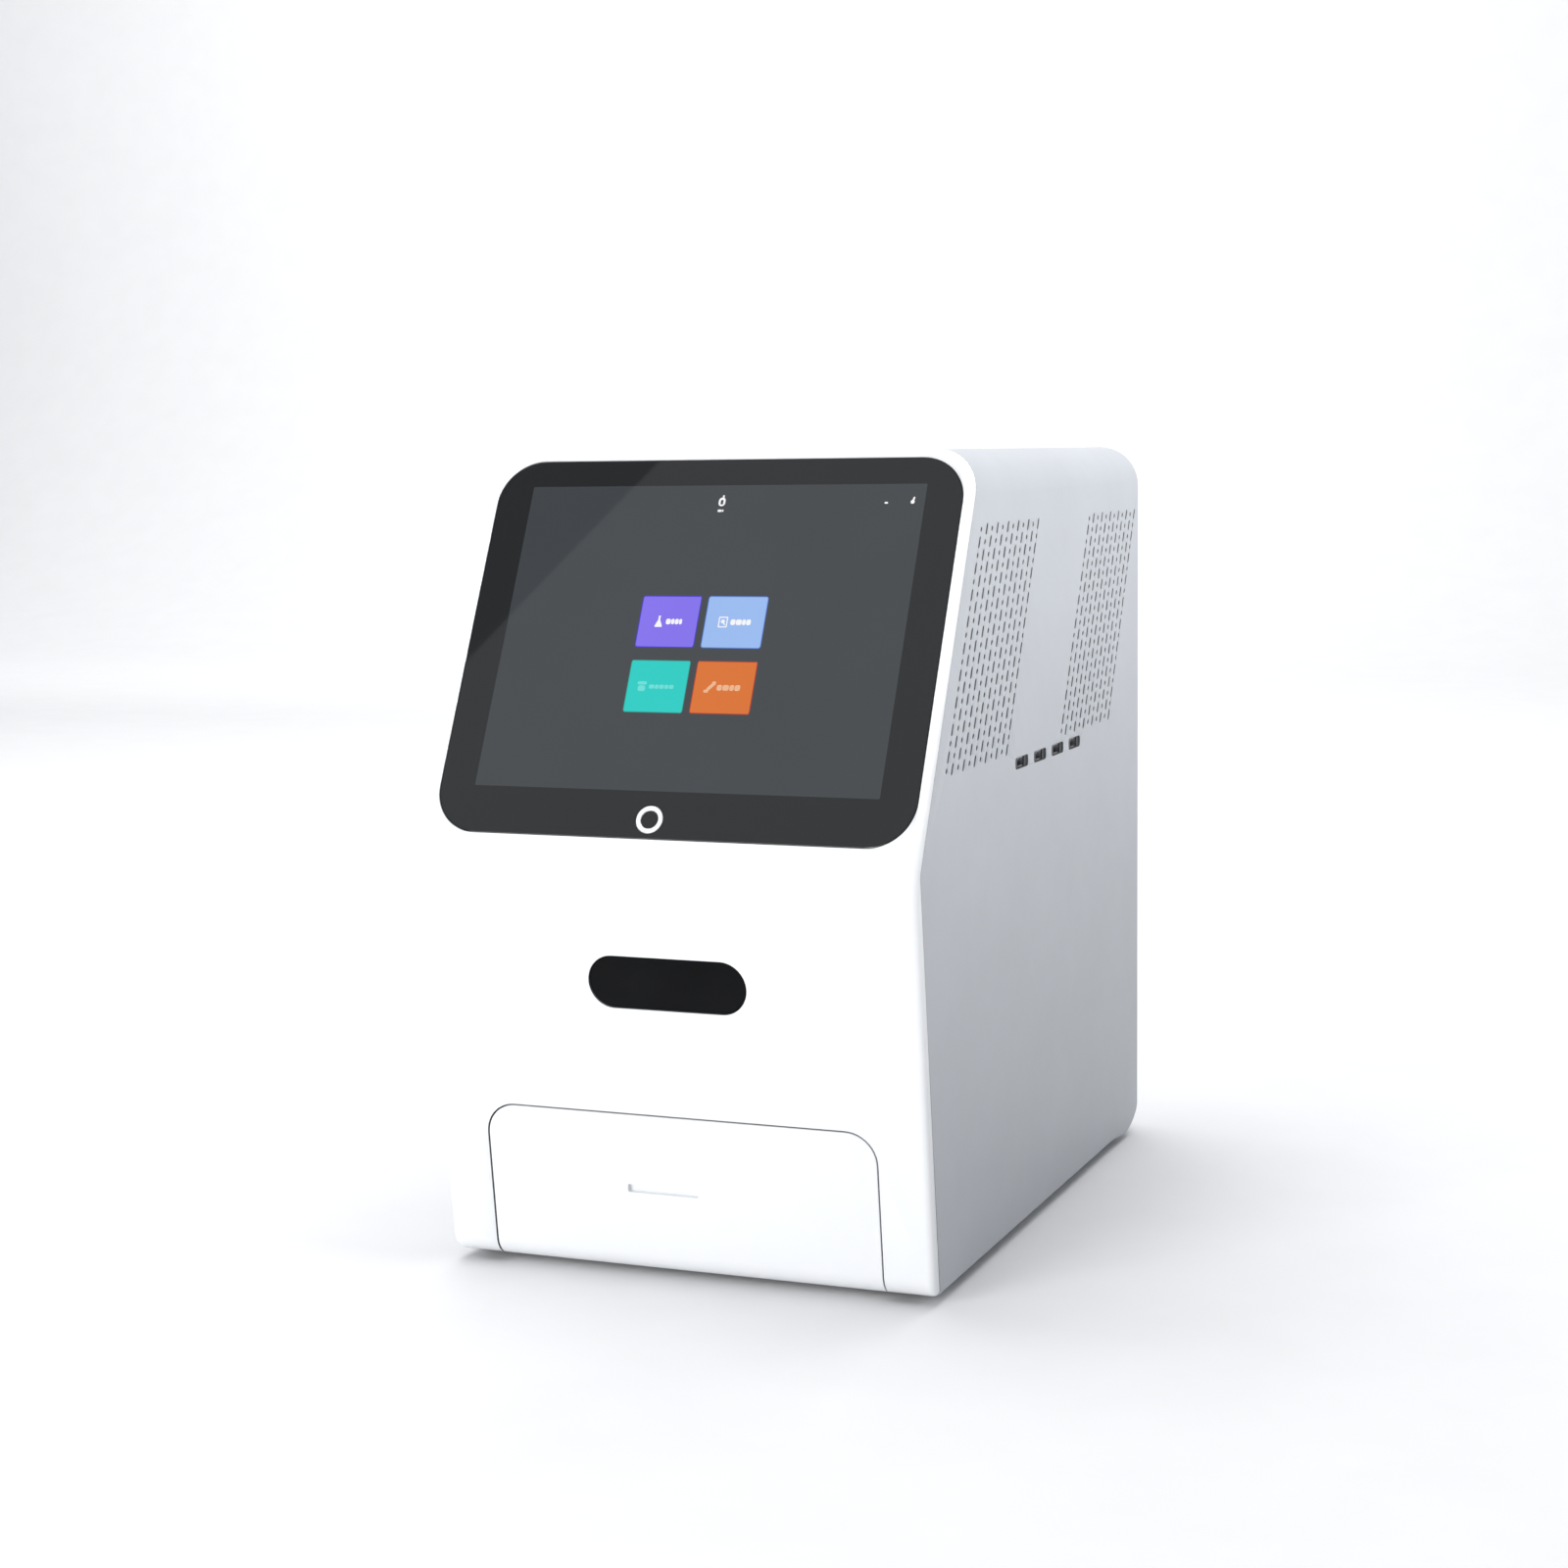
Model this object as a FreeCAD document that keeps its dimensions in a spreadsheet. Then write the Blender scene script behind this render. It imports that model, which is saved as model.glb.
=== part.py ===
import FreeCAD, Part
import math
import os
import re
import Sketcher

# Gel documentation system: a bench cabinet with a sloped touch display, a viewing window,
# a drawer that carries the ultraviolet table, and a camera over a dark chamber.
# Millimetres. X runs left to right, Y from front to rear, Z up, origin on the bench
# below the middle of the cabinet.

SIZES = {
    # cabinet
    "case_width": 300, "case_depth": 480, "case_height": 466, "foot_height": 5,
    "nose_height": 240, "screen_tilt": 26.5, "panel_tilt": 6.6,
    "nose_radius": 50, "shoulder_radius": 26, "rear_radius": 20,
    "heel_radius": 36,
    "front_edge_radius": 4.5, "toe_radius": 13,
    "cover_wall": 2.5, "fascia_wall": 5, "fascia_depth": 7, "seam": 0.3,
    "cover_flange": 14, "pan_lap": 4, "pan_sheet": 2, "foot_radius": 12, "foot_inset": 32,
    # touch display
    "glass_margin": 5, "glass_start": 15.5, "glass_thick": 2.5,
    "glass_corner": 27, "glass_gap": 0.3, "lcd_low": 22, "lcd_high": 10, "lcd_side": 13,
    "lcd_thick": 9, "lcd_gap": 1,
    "bracket_sheet": 1.5, "bracket_margin": 7, "board_sheet": 1.6,
    # power button
    "button_offset": -10.5, "button_rise": 27, "button_radius": 8.2, "button_gap": 0.3,
    "ring_radius": 5.2, "ring_depth": 1, "button_travel": 1, "button_cap": 3.2,
    "button_body_depth": 9, "button_sleeve": 1.1,
    # viewing window
    "window_width": 96.3, "window_height": 30.7, "window_level": 177, "window_recess": 1,
    "window_gap": 0.3, "window_flange": 5, "pane_flange_thick": 2, "gasket_thick": 1.5,
    "hood_wall": 2,
    # drawer and its slides
    "drawer_side": 30.5, "drawer_top": 94.2, "drawer_corner": 18, "drawer_gap": 0.8,
    "drawer_front_depth": 16,
    "groove_width": 44, "groove_height": 4.8, "groove_level": 50, "groove_offset": -11,
    "groove_depth": 9, "groove_wall": 2,
    "tray_floor": 9, "tray_rim": 87, "tray_sheet": 1.2, "catch_room": 30,
    "slide_level": 45, "slide_height": 45, "slide_width": 12.7, "slide_steel": 1.2,
    "slide_play": 0.4, "slide_front": 42, "slide_tail": 6,
    # ultraviolet table in the drawer
    "stage_rim": 7.6, "stage_room": 80, "stage_level": 75, "stage_thick": 6,
    "filter_thick": 4, "stage_ledge": 3, "lamp_count": 6, "lamp_margin": 25,
    "lamp_radius": 7.75, "lamp_over": 12, "lamp_level": 40, "holder_thick": 9,
    "holder_height": 22, "reflector_level": 20, "reflector_rise": 10,
    "reflector_sheet": 0.8,
    # frame and dark chamber
    "frame_gap": 28.5, "frame_sheet": 1.5, "frame_lip": 12, "frame_end": 40,
    "frame_wing": 30, "chamber_sheet": 1.5, "chamber_floor": 97, "camera_room": 141,
    "chamber_front_gap": 22, "chamber_screen_gap": 42, "chamber_reach": 132,
    "shelf_sheet": 2,
    # camera and filters
    "lens_radius": 22, "lens_clearance": 16, "lens_length": 54, "ring_wall": 4,
    "ring_play": 0.3, "camera_width": 60, "camera_length": 46, "fin_count": 6,
    "fin_depth": 5, "wheel_radius": 60, "wheel_thick": 5, "wheel_reach": 44,
    "wheel_lift": 8, "filter_count": 5, "filter_radius": 15.5, "filter_ledge": 2,
    "filter_disc": 3, "shaft_radius": 2.5, "motor_width": 28, "motor_length": 32,
    # vents and sockets in the cover
    "vent_columns": 8, "vent_rows": 13, "vent_pitch": 15.87, "vent_row_pitch": 10.8,
    "vent_slot_width": 3.6, "vent_slot_length": 9, "vent_drop": 45,
    "vent_margin": 26.4, "vent_back": 28.8, "vent_screen": 2,
    "socket_count": 4, "socket_pitch": 37.7, "socket_shift": 76.1, "socket_drop": 139.7,
    "socket_width": 25.7, "socket_height": 7, "socket_gap": 0.25,
    # rear panel
    "rear_side": 35, "rear_low": 46, "rear_top": 30, "rear_lap": 8, "rear_sheet": 1.5,
    "fan_size": 80, "fan_depth": 25, "fan_drop": 90, "fan_play": 1.5, "hub_radius": 17,
    "blade_count": 7, "blade_pitch": 38, "blade_chord": 17, "blade_sheet": 1.4,
    "inlet_width": 28, "inlet_height": 21, "inlet_depth": 22, "inlet_offset": -70,
    "inlet_level": 66, "rocker_width": 13, "rocker_height": 20, "rocker_offset": -38,
    "rocker_swing": 16, "screw_radius": 3.5, "screw_head": 1.8,
    # works behind the chamber
    "supply_gap": 28, "supply_length": 88, "supply_width": 110, "supply_height": 40,
    "board_width": 190, "board_height": 170,
}

# Places that follow from the sizes, as formulas on a second sheet.
PLACES = {
    "half_width": "case_width / 2",
    "rear_y": "case_depth / 2",
    "floor_z": "foot_height",
    "top_z": "foot_height + case_height",
    "nose_z": "foot_height + nose_height",
    "nose_y": "-case_depth / 2 - nose_radius * (cos((screen_tilt - panel_tilt) / 2)"
              " / cos((screen_tilt + panel_tilt) / 2) - 1)",
    "bend_rate": "(1 / cos(panel_tilt) - 1 / cos(screen_tilt))"
                 " / (tan(screen_tilt) + tan(panel_tilt))",
    "pan_z": "floor_z + cover_wall",
    "pan_top": "pan_z + pan_sheet",
    "frame_x": "half_width - frame_gap",
    "tray_x": "frame_x - slide_width",
    "tray_low": "floor_z + tray_floor",
    "tray_high": "floor_z + tray_rim",
    "toe_y": "nose_y + nose_height * tan(panel_tilt)",
    "supply_y": "rear_y - supply_gap - supply_length",
    "tray_rear": "supply_y - catch_room",
    "tray_run": "tray_rear - toe_y - drawer_front_depth",
    "stage_y": "tray_rear - tray_run / 2",
    "stage_size": "min(2 * (tray_x - tray_sheet - stage_rim); tray_run - stage_room)",
    "lamp_pitch": "(stage_size - 2 * lamp_margin) / (lamp_count - 1)",
    "lamp_length": "stage_size + lamp_over",
    "chamber_rear": "stage_y + chamber_reach",
    "frame_rear": "rear_y - frame_end",
    "stage_z": "floor_z + stage_level",
    "stage_low": "stage_z - stage_thick",
    "slide_z": "floor_z + slide_level",
    "slide_y": "nose_y + slide_front",
    "slide_length": "tray_rear + slide_tail - slide_y",
    "shelf_z": "top_z - camera_room",
    "shelf_top": "shelf_z + shelf_sheet",
    "wheel_z": "shelf_top + wheel_lift",
    "wheel_top": "wheel_z + wheel_thick",
    "wheel_x": "wheel_reach",
    "lens_z": "shelf_top + lens_clearance",
    "camera_z": "lens_z + lens_length",
    "glass_width": "case_width - 2 * glass_margin",
    "glass_length": "(top_z - nose_z) / cos(screen_tilt) - glass_start - glass_margin",
    "lcd_width": "glass_width - 2 * lcd_side",
    "lcd_length": "glass_length - lcd_low - lcd_high",
    "screen_centre": "glass_start + lcd_low + lcd_length / 2",
    "drawer_width": "case_width - 2 * drawer_side",
    "window_rise": "-(nose_height - window_level) / cos(panel_tilt)",
    "groove_rise": "-(nose_height - groove_level) / cos(panel_tilt)",
    "rear_inner": "rear_y - cover_wall",
    "panel_y": "rear_inner - rear_sheet",
    "rear_width": "case_width - 2 * rear_side",
    "rear_high": "case_height - rear_top",
    "fan_z": "top_z - fan_drop",
    "inlet_z": "floor_z + inlet_level",
    "vent_z": "top_z - vent_drop",
    "vent_y": "nose_y + (vent_z - nose_z) * tan(screen_tilt) + vent_margin",
    "vent_rear_y": "rear_y - vent_back - (vent_columns - 1) * vent_pitch",
    "socket_y": "vent_y + socket_shift",
    "socket_z": "vent_z - socket_drop",
    "cover_inner": "half_width - cover_wall",
    "pan_x": "cover_inner - seam",
}

doc = FreeCAD.newDocument("gel_documentation_system")
sub_parts = []


def fill_sheets():
    """Write the driving sizes as plain numbers, then the places as formulas on them."""
    sizes = doc.addObject("Spreadsheet::Sheet", "Sizes")
    for row, (word, number) in enumerate(SIZES.items(), start=1):
        sizes.set("A%d" % row, word)
        sizes.set("B%d" % row, str(number))
        sizes.setAlias("B%d" % row, word)
    doc.recompute()
    places = doc.addObject("Spreadsheet::Sheet", "Places")
    for row, word in enumerate(PLACES, start=1):
        places.set("A%d" % row, word)
        places.setAlias("B%d" % row, word)
    for row, formula in enumerate(PLACES.values(), start=1):
        places.set("B%d" % row, "=" + cells(formula, own="Places"))
    doc.recompute()
    return sizes, places


def cells(text, own=None):
    """Turn each size or place word of an expression into its cell."""
    def cell(match):
        word = match.group(0)
        if word in SIZES:
            return "Sizes." + word
        if word in PLACES:
            return word if own == "Places" else "Places." + word
        return word
    return re.sub(r"[A-Za-z_]+", cell, str(text))


sizes_sheet, places_sheet = fill_sheets()


def num(word):
    """Read one size or place as a number."""
    sheet = sizes_sheet if word in SIZES else places_sheet
    return float(sheet.get(word))


def bind(thing, rules):
    """Bind properties of an object to expressions of the sheets."""
    for prop, text in rules.items():
        thing.setExpression(prop, cells(text))


def place(thing, x="0", y="0", z="0"):
    bind(thing, {"Placement.Base.x": x, "Placement.Base.y": y, "Placement.Base.z": z})
    return thing


def box(name, x, y, z, dx, dy, dz):
    """A block from its low corner and its three sizes."""
    block = doc.addObject("Part::Box", name)
    bind(block, {"Length": dx, "Width": dy, "Height": dz})
    return place(block, x, y, z)


def mid_box(name, x, y, z, dx, dy, dz):
    """A block centred on x and y that stands on z."""
    return box(name, f"{x} - ({dx}) / 2", f"{y} - ({dy}) / 2", z, dx, dy, dz)


TURNS = {
    "x": FreeCAD.Rotation(FreeCAD.Vector(0, 1, 0), 90),
    "y": FreeCAD.Rotation(FreeCAD.Vector(1, 0, 0), -90),
    "z": FreeCAD.Rotation(),
}


def rod(name, x, y, z, radius, length, axis="z"):
    """A cylinder whose axis starts at a point and runs along x, y or z."""
    cylinder = doc.addObject("Part::Cylinder", name)
    cylinder.Placement = FreeCAD.Placement(FreeCAD.Vector(), TURNS[axis])
    bind(cylinder, {"Radius": radius, "Height": length})
    return place(cylinder, x, y, z)


def join(name, *shapes):
    fuse = doc.addObject("Part::MultiFuse", name)
    fuse.Shapes = list(shapes)
    fuse.Refine = True
    return fuse


def group(name, *shapes):
    """Separate solids that share one sub-part."""
    compound = doc.addObject("Part::Compound", name)
    compound.Links = list(shapes)
    return compound


def cut(name, base, *tools):
    result = doc.addObject("Part::Cut", name)
    result.Base = base
    result.Tool = tools[0] if len(tools) == 1 else join(name + "_tools", *tools)
    result.Refine = True
    return result


def meet(name, *shapes):
    common = doc.addObject("Part::MultiCommon", name)
    common.Shapes = list(shapes)
    common.Refine = True
    return common


def mirrored(name, source):
    """The same shape on the other side of the middle plane."""
    twin = doc.addObject("Part::Mirroring", name)
    twin.Source = source
    twin.Normal = FreeCAD.Vector(1, 0, 0)
    return twin


def slope(thing, plane):
    """Stand a shape drawn flat on the screen plane or on the lower front plane.

    Its own x stays x, its y runs up the plane from the nose line, its z points out."""
    if thing.TypeId in ("Part::Box", "Part::Cylinder"):
        thing = group(thing.Name + "_set", thing)
    angle = "90 - screen_tilt" if plane == "screen" else "90 + panel_tilt"
    thing.Placement = FreeCAD.Placement(FreeCAD.Vector(), FreeCAD.Rotation(FreeCAD.Vector(1, 0, 0), 60))
    bind(thing, {"Placement.Rotation.Angle": angle})
    return place(thing, "0", "nose_y", "nose_z")


def pill(name, x, y, z, length, height, thick):
    """A plate with fully round ends, centred on x and y."""
    core = mid_box(name + "_core", x, y, z, f"{length} - ({height})", height, thick)
    ends = [rod(f"{name}_{tag}", f"{x} {side} ({length} - ({height})) / 2", y, z,
                f"({height}) / 2", thick) for tag, side in (("right", "+"), ("left", "-"))]
    return join(name, core, *ends)


def keep(thing, label):
    """Count a shape as a sub-part, saved under its label."""
    thing.Label = label
    sub_parts.append(thing)
    return thing


def sketch(body, role, outline, circles=(), level="0"):
    """A closed outline of straight lines, with round holes, on one of the body's planes."""
    flat = [o for o in body.Origin.OriginFeatures if o.Role == role][0]
    drawing = body.newObject("Sketcher::SketchObject", body.Name + "_sketch")
    drawing.AttachmentSupport = [(flat, "")]
    drawing.MapMode = "FlatFace"
    bind(drawing, {"AttachmentOffset.Base.z": level})
    count = len(outline)
    for i in range(count):
        angle = 2 * math.pi * i / count
        after = 2 * math.pi * (i + 1) / count
        start = FreeCAD.Vector(math.cos(angle), math.sin(angle), 0)
        end = FreeCAD.Vector(math.cos(after), math.sin(after), 0)
        drawing.addGeometry(Part.LineSegment(start, end))
    for i in range(count):
        drawing.addConstraint(Sketcher.Constraint("Coincident", i, 2, (i + 1) % count, 1))
    for i, (across, up) in enumerate(outline):
        tie(drawing, "DistanceX", i, 1, across)
        tie(drawing, "DistanceY", i, 1, up)
    for across, up, radius in circles:
        hole = drawing.addGeometry(Part.Circle(FreeCAD.Vector(), FreeCAD.Vector(0, 0, 1), 1))
        tie(drawing, "DistanceX", hole, 3, across)
        tie(drawing, "DistanceY", hole, 3, up)
        ring = drawing.addConstraint(Sketcher.Constraint("Radius", hole, 1.0))
        bind(drawing, {"Constraints[%d]" % ring: radius})
    return drawing


def tie(drawing, kind, line, point, text):
    """Hold a sketch point at a distance from the sketch's origin."""
    index = drawing.addConstraint(Sketcher.Constraint(kind, -1, 1, line, point, 1.0))
    bind(drawing, {"Constraints[%d]" % index: text})


def pad(name, role, outline, length, circles=(), level="0", centred=False, back=False):
    """A body padded from one outline."""
    body = doc.addObject("PartDesign::Body", name)
    drawing = sketch(body, role, outline, circles, level)
    feature = body.newObject("PartDesign::Pad", name + "_pad")
    feature.Profile = drawing
    bind(feature, {"Length": length})
    if centred:
        feature.SideType = "Symmetric"
    feature.Reversed = back
    doc.recompute()
    return body


def rectangle(x, y, dx, dy):
    """The outline of a rectangle centred on x and y."""
    left, right = f"{x} - ({dx}) / 2", f"{x} + ({dx}) / 2"
    low, high = f"{y} - ({dy}) / 2", f"{y} + ({dy}) / 2"
    return [(left, low), (right, low), (right, high), (left, high)]


def fillet(body, name, radius, wanted):
    """Round the edges of a body that a test picks by their ends and middle."""
    base = body.Tip
    shape = base.Shape
    names = []
    for number, edge in enumerate(shape.Edges, start=1):
        ends = [v.Point for v in edge.Vertexes]
        middle = edge.valueAt((edge.FirstParameter + edge.LastParameter) / 2)
        if wanted(ends, middle, shape.BoundBox):
            names.append("Edge%d" % number)
    feature = body.newObject("PartDesign::Fillet", name)
    feature.Base = (base, names)
    bind(feature, {"Radius": radius})
    body.Tip = feature
    doc.recompute()
    return body


def runs_along(ends, axis):
    """True where an edge is straight along one axis."""
    step = ends[-1] - ends[0]
    others = [c for c in "xyz" if c != axis]
    return all(abs(getattr(step, c)) < 1e-6 for c in others)


def lower_line(z, inset="0"):
    """Y of the lower front plane at height z, moved inwards by an inset."""
    return f"nose_y + (nose_z - ({z})) * tan(panel_tilt) + ({inset}) / cos(panel_tilt)"


def upper_line(z, inset="0"):
    """Y of the screen plane at height z, moved inwards by an inset."""
    return f"nose_y + (({z}) - nose_z) * tan(screen_tilt) + ({inset}) / cos(screen_tilt)"


def case_form(name, inset):
    """The cabinet's rounded form, all its faces moved inwards by an inset."""
    low, high = f"(floor_z + {inset})", f"(top_z - {inset})"
    bend = f"(nose_z + {inset} * bend_rate)"
    outline = [(lower_line(low, inset), low), (lower_line(bend, inset), bend),
               (upper_line(high, inset), high), (f"rear_y - {inset}", high),
               (f"rear_y - {inset}", low)]
    body = pad(name, "YZ_Plane", outline, f"case_width - 2 * {inset}", centred=True)
    fillet(body, name + "_nose", f"nose_radius - {inset}",
           lambda ends, mid, room: runs_along(ends, "x") and mid.y < room.YMin + 0.01)
    fillet(body, name + "_toe", f"toe_radius - {inset}",
           lambda ends, mid, room: runs_along(ends, "x") and mid.z < room.ZMin + 0.01
           and mid.y < 0)
    fillet(body, name + "_shoulder", f"shoulder_radius - {inset}",
           lambda ends, mid, room: runs_along(ends, "y") and mid.z > room.ZMax - 0.01)
    fillet(body, name + "_rear", f"rear_radius - {inset}",
           lambda ends, mid, room: all(abs(p.y - room.YMax) < 0.01 for p in ends + [mid]))
    return body


def heel(name, inset):
    """What lies outside the rounded lower rear corner."""
    block = box(name + "_block", "-case_width", "rear_y - heel_radius", "floor_z - 1",
                "2 * case_width", "heel_radius + 1", "heel_radius + 1")
    core = rod(name + "_core", "-case_width", "rear_y - heel_radius", "floor_z + heel_radius",
               f"heel_radius - {inset}", "2 * case_width", axis="x")
    return cut(name, block, core)


def on_front_rim(ends, mid, room):
    """The edges round the front face, from the bottom up and over its top."""
    across = runs_along(ends, "x") and mid.z < room.ZMax - 0.01
    along = runs_along(ends, "y")
    return mid.y < room.YMin + (room.YMax - room.YMin) / 3 and not across and not along


def front_slab(name, depth):
    """All that lies within a depth behind the front, measured level."""
    low, high = "(floor_z - 20)", "(top_z + 20)"
    outline = [(lower_line(low) + f" + {depth}", low), (f"nose_y + {depth}", "nose_z"),
               (upper_line(high) + f" + {depth}", high), ("-case_depth", high),
               ("-case_depth", low)]
    return pad(name, "YZ_Plane", outline, "case_width + 40", centred=True)


def arch(name, half, top, corner):
    """The doorway of the drawer: open below, with two round top corners."""
    outline = [(f"-({half})", "floor_z - 20"), (half, "floor_z - 20"), (half, top),
               (f"-({half})", top)]
    body = pad(name, "XZ_Plane", outline, "2 * case_depth", centred=True)
    return fillet(body, name + "_corners", corner,
                  lambda ends, mid, room: runs_along(ends, "y") and mid.z > room.ZMax - 0.01)


def vent_slots(side):
    """The slanted slots of one side: two leaning fields, every other cell of the lattice."""
    pitch, row_pitch = num("vent_pitch"), num("vent_row_pitch")
    lean = math.tan(math.radians(num("screen_tilt")))
    half_slot, half_length = num("vent_slot_width") / 2, num("vent_slot_length") / 2
    depth = 2 * num("cover_wall")
    middle = num("half_width") - num("cover_wall") / 2
    slots = []
    for first in (num("vent_y"), num("vent_rear_y")):
        for row in range(int(num("vent_rows"))):
            drop = row * row_pitch
            for column in range(int(num("vent_columns"))):
                if (row + column) % 2 == 0:
                    continue
                y = first + column * pitch - drop * lean
                z = num("vent_z") - drop
                corners = [(y + across * half_slot + up * half_length * lean, z + up * half_length)
                           for across, up in ((-1, -1), (1, -1), (1, 1), (-1, 1))]
                wire = Part.makePolygon([FreeCAD.Vector(side * middle - depth / 2, cy, cz)
                                         for cy, cz in corners + corners[:1]])
                slots.append(Part.Face(wire).extrude(FreeCAD.Vector(depth, 0, 0)))
    return slots


def socket_places():
    """Y of each socket in the row, as expressions."""
    return [f"socket_y + {i} * socket_pitch" for i in range(SIZES["socket_count"])]


def make_cabinet():
    blank = cut("case_shape",
                fillet(case_form("case_blank", "0"), "case_rim", "front_edge_radius",
                       on_front_rim), heel("heel_outer", "0"))
    cover_core = cut("cover_space", case_form("cover_core", "cover_wall"),
                     heel("heel_inner", "cover_wall"))
    fascia_core = case_form("fascia_core", "fascia_wall")
    doorway = arch("doorway", "drawer_width / 2 + drawer_gap", "floor_z + drawer_top + drawer_gap",
                   "drawer_corner + drawer_gap")

    # cover: sides, top and rounded rear, open in front, below and behind
    vents = doc.addObject("Part::Feature", "vent_slots")
    vents.Shape = Part.makeCompound(vent_slots(1) + vent_slots(-1))
    below = box("cover_below", "-(half_width - cover_flange)", "-case_depth", "floor_z - 1",
                "case_width - 2 * cover_flange",
                "case_depth + rear_y - heel_radius - pan_lap",
                "cover_wall + toe_radius + 1")
    behind = mid_box("cover_behind", "0", "rear_y", "floor_z + rear_low", "rear_width", "20",
                     "rear_high - rear_low")
    ports = [mid_box(f"cover_port_{i}", "half_width", y, "socket_z - socket_height / 2",
                     "4 * cover_wall", "socket_width", "socket_height")
             for i, y in enumerate(socket_places())]
    shell = cut("cover_shell", blank, cover_core, front_slab("cover_front", "(fascia_depth + seam)"),
                below, behind, *ports)
    keep(cut("cover", shell, vents), "outer_cover")

    # fascia: the moulded front with its doorway, display recess and window
    glass_seat = slope(rounded_plate("glass_seat", "0", "glass_start + glass_length / 2",
                                     "-glass_thick", "glass_width + 2 * glass_gap",
                                     "glass_length + 2 * glass_gap", "2 * glass_thick",
                                     "glass_corner + glass_gap"), "screen")
    lcd_way = slope(mid_box("lcd_way", "0", "screen_centre", "-2 * fascia_wall",
                            "lcd_width + 2 * lcd_gap", "lcd_length + 2 * lcd_gap",
                            "3 * fascia_wall"), "screen")
    button_way = slope(rod("button_way", "button_offset", "button_rise", "-2 * fascia_wall",
                           "button_radius + button_gap", "3 * fascia_wall"), "screen")
    window_way = slope(pill("window_way", "0", "window_rise", "-2 * fascia_wall", "window_width",
                            "window_height", "3 * fascia_wall"), "lower")
    front = meet("fascia_front", blank, front_slab("fascia_slab", "fascia_depth"))
    keep(cut("fascia", front, fascia_core, doorway, glass_seat, lcd_way, button_way, window_way),
         "front_fascia")

    # base pan inside the cover's flanges, with turned-up edges
    pan_front = "toe_y + drawer_front_depth + 3"
    pan_back = "(rear_y - heel_radius)"
    plate = box("pan_plate", "-pan_x", pan_front, "pan_z", "2 * pan_x",
                f"{pan_back} - ({pan_front})", "pan_sheet")
    edges = [box(f"pan_edge_{tag}", x, pan_front, "pan_z", "pan_sheet",
                 f"{pan_back} - ({pan_front})", "cover_flange")
             for tag, x in (("left", "-pan_x"), ("right", "pan_x - pan_sheet"))]
    keep(join("pan", plate, *edges), "base_pan")
    feet = [rod(f"foot_{i}", f"{sx}(half_width - foot_inset)", f"{sy}(rear_y - 2 * foot_inset)", "0",
                "foot_radius", "pan_z") for i, (sx, sy) in enumerate(
                    (("-", "-"), ("", "-"), ("-", ""), ("", "")))]
    keep(group("feet", *feet), "rubber_feet")

    # drawer front, cut from the same form so that it closes flush
    face = meet("drawer_face", blank, front_slab("drawer_slab", "drawer_front_depth"),
                arch("drawer_arch", "drawer_width / 2", "floor_z + drawer_top", "drawer_corner"))
    hollow = meet("drawer_hollow", fascia_core,
                  arch("drawer_inside", "drawer_width / 2 - fascia_wall",
                       "floor_z + drawer_top - fascia_wall", "drawer_corner - fascia_wall"))
    grip = slope(mid_box("grip_back", "groove_offset", "groove_rise", "-groove_depth - groove_wall",
                         "groove_width + 2 * groove_wall", "groove_height + 2 * groove_wall",
                         "groove_depth + groove_wall - 1"), "lower")
    groove = slope(mid_box("grip_slot", "groove_offset", "groove_rise", "-groove_depth",
                           "groove_width", "groove_height", "2 * groove_depth"), "lower")
    keep(cut("drawer_panel", join("drawer_dish", cut("drawer_wall", face, hollow), grip), groove),
         "drawer_front")


def rounded_plate(name, x, y, z, dx, dy, dz, corner):
    """A plate with four round corners."""
    body = pad(name, "XY_Plane", rectangle(x, y, dx, dy), dz, level=z)
    return fillet(body, name + "_corners", corner,
                  lambda ends, mid, room: runs_along(ends, "z"))


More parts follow.
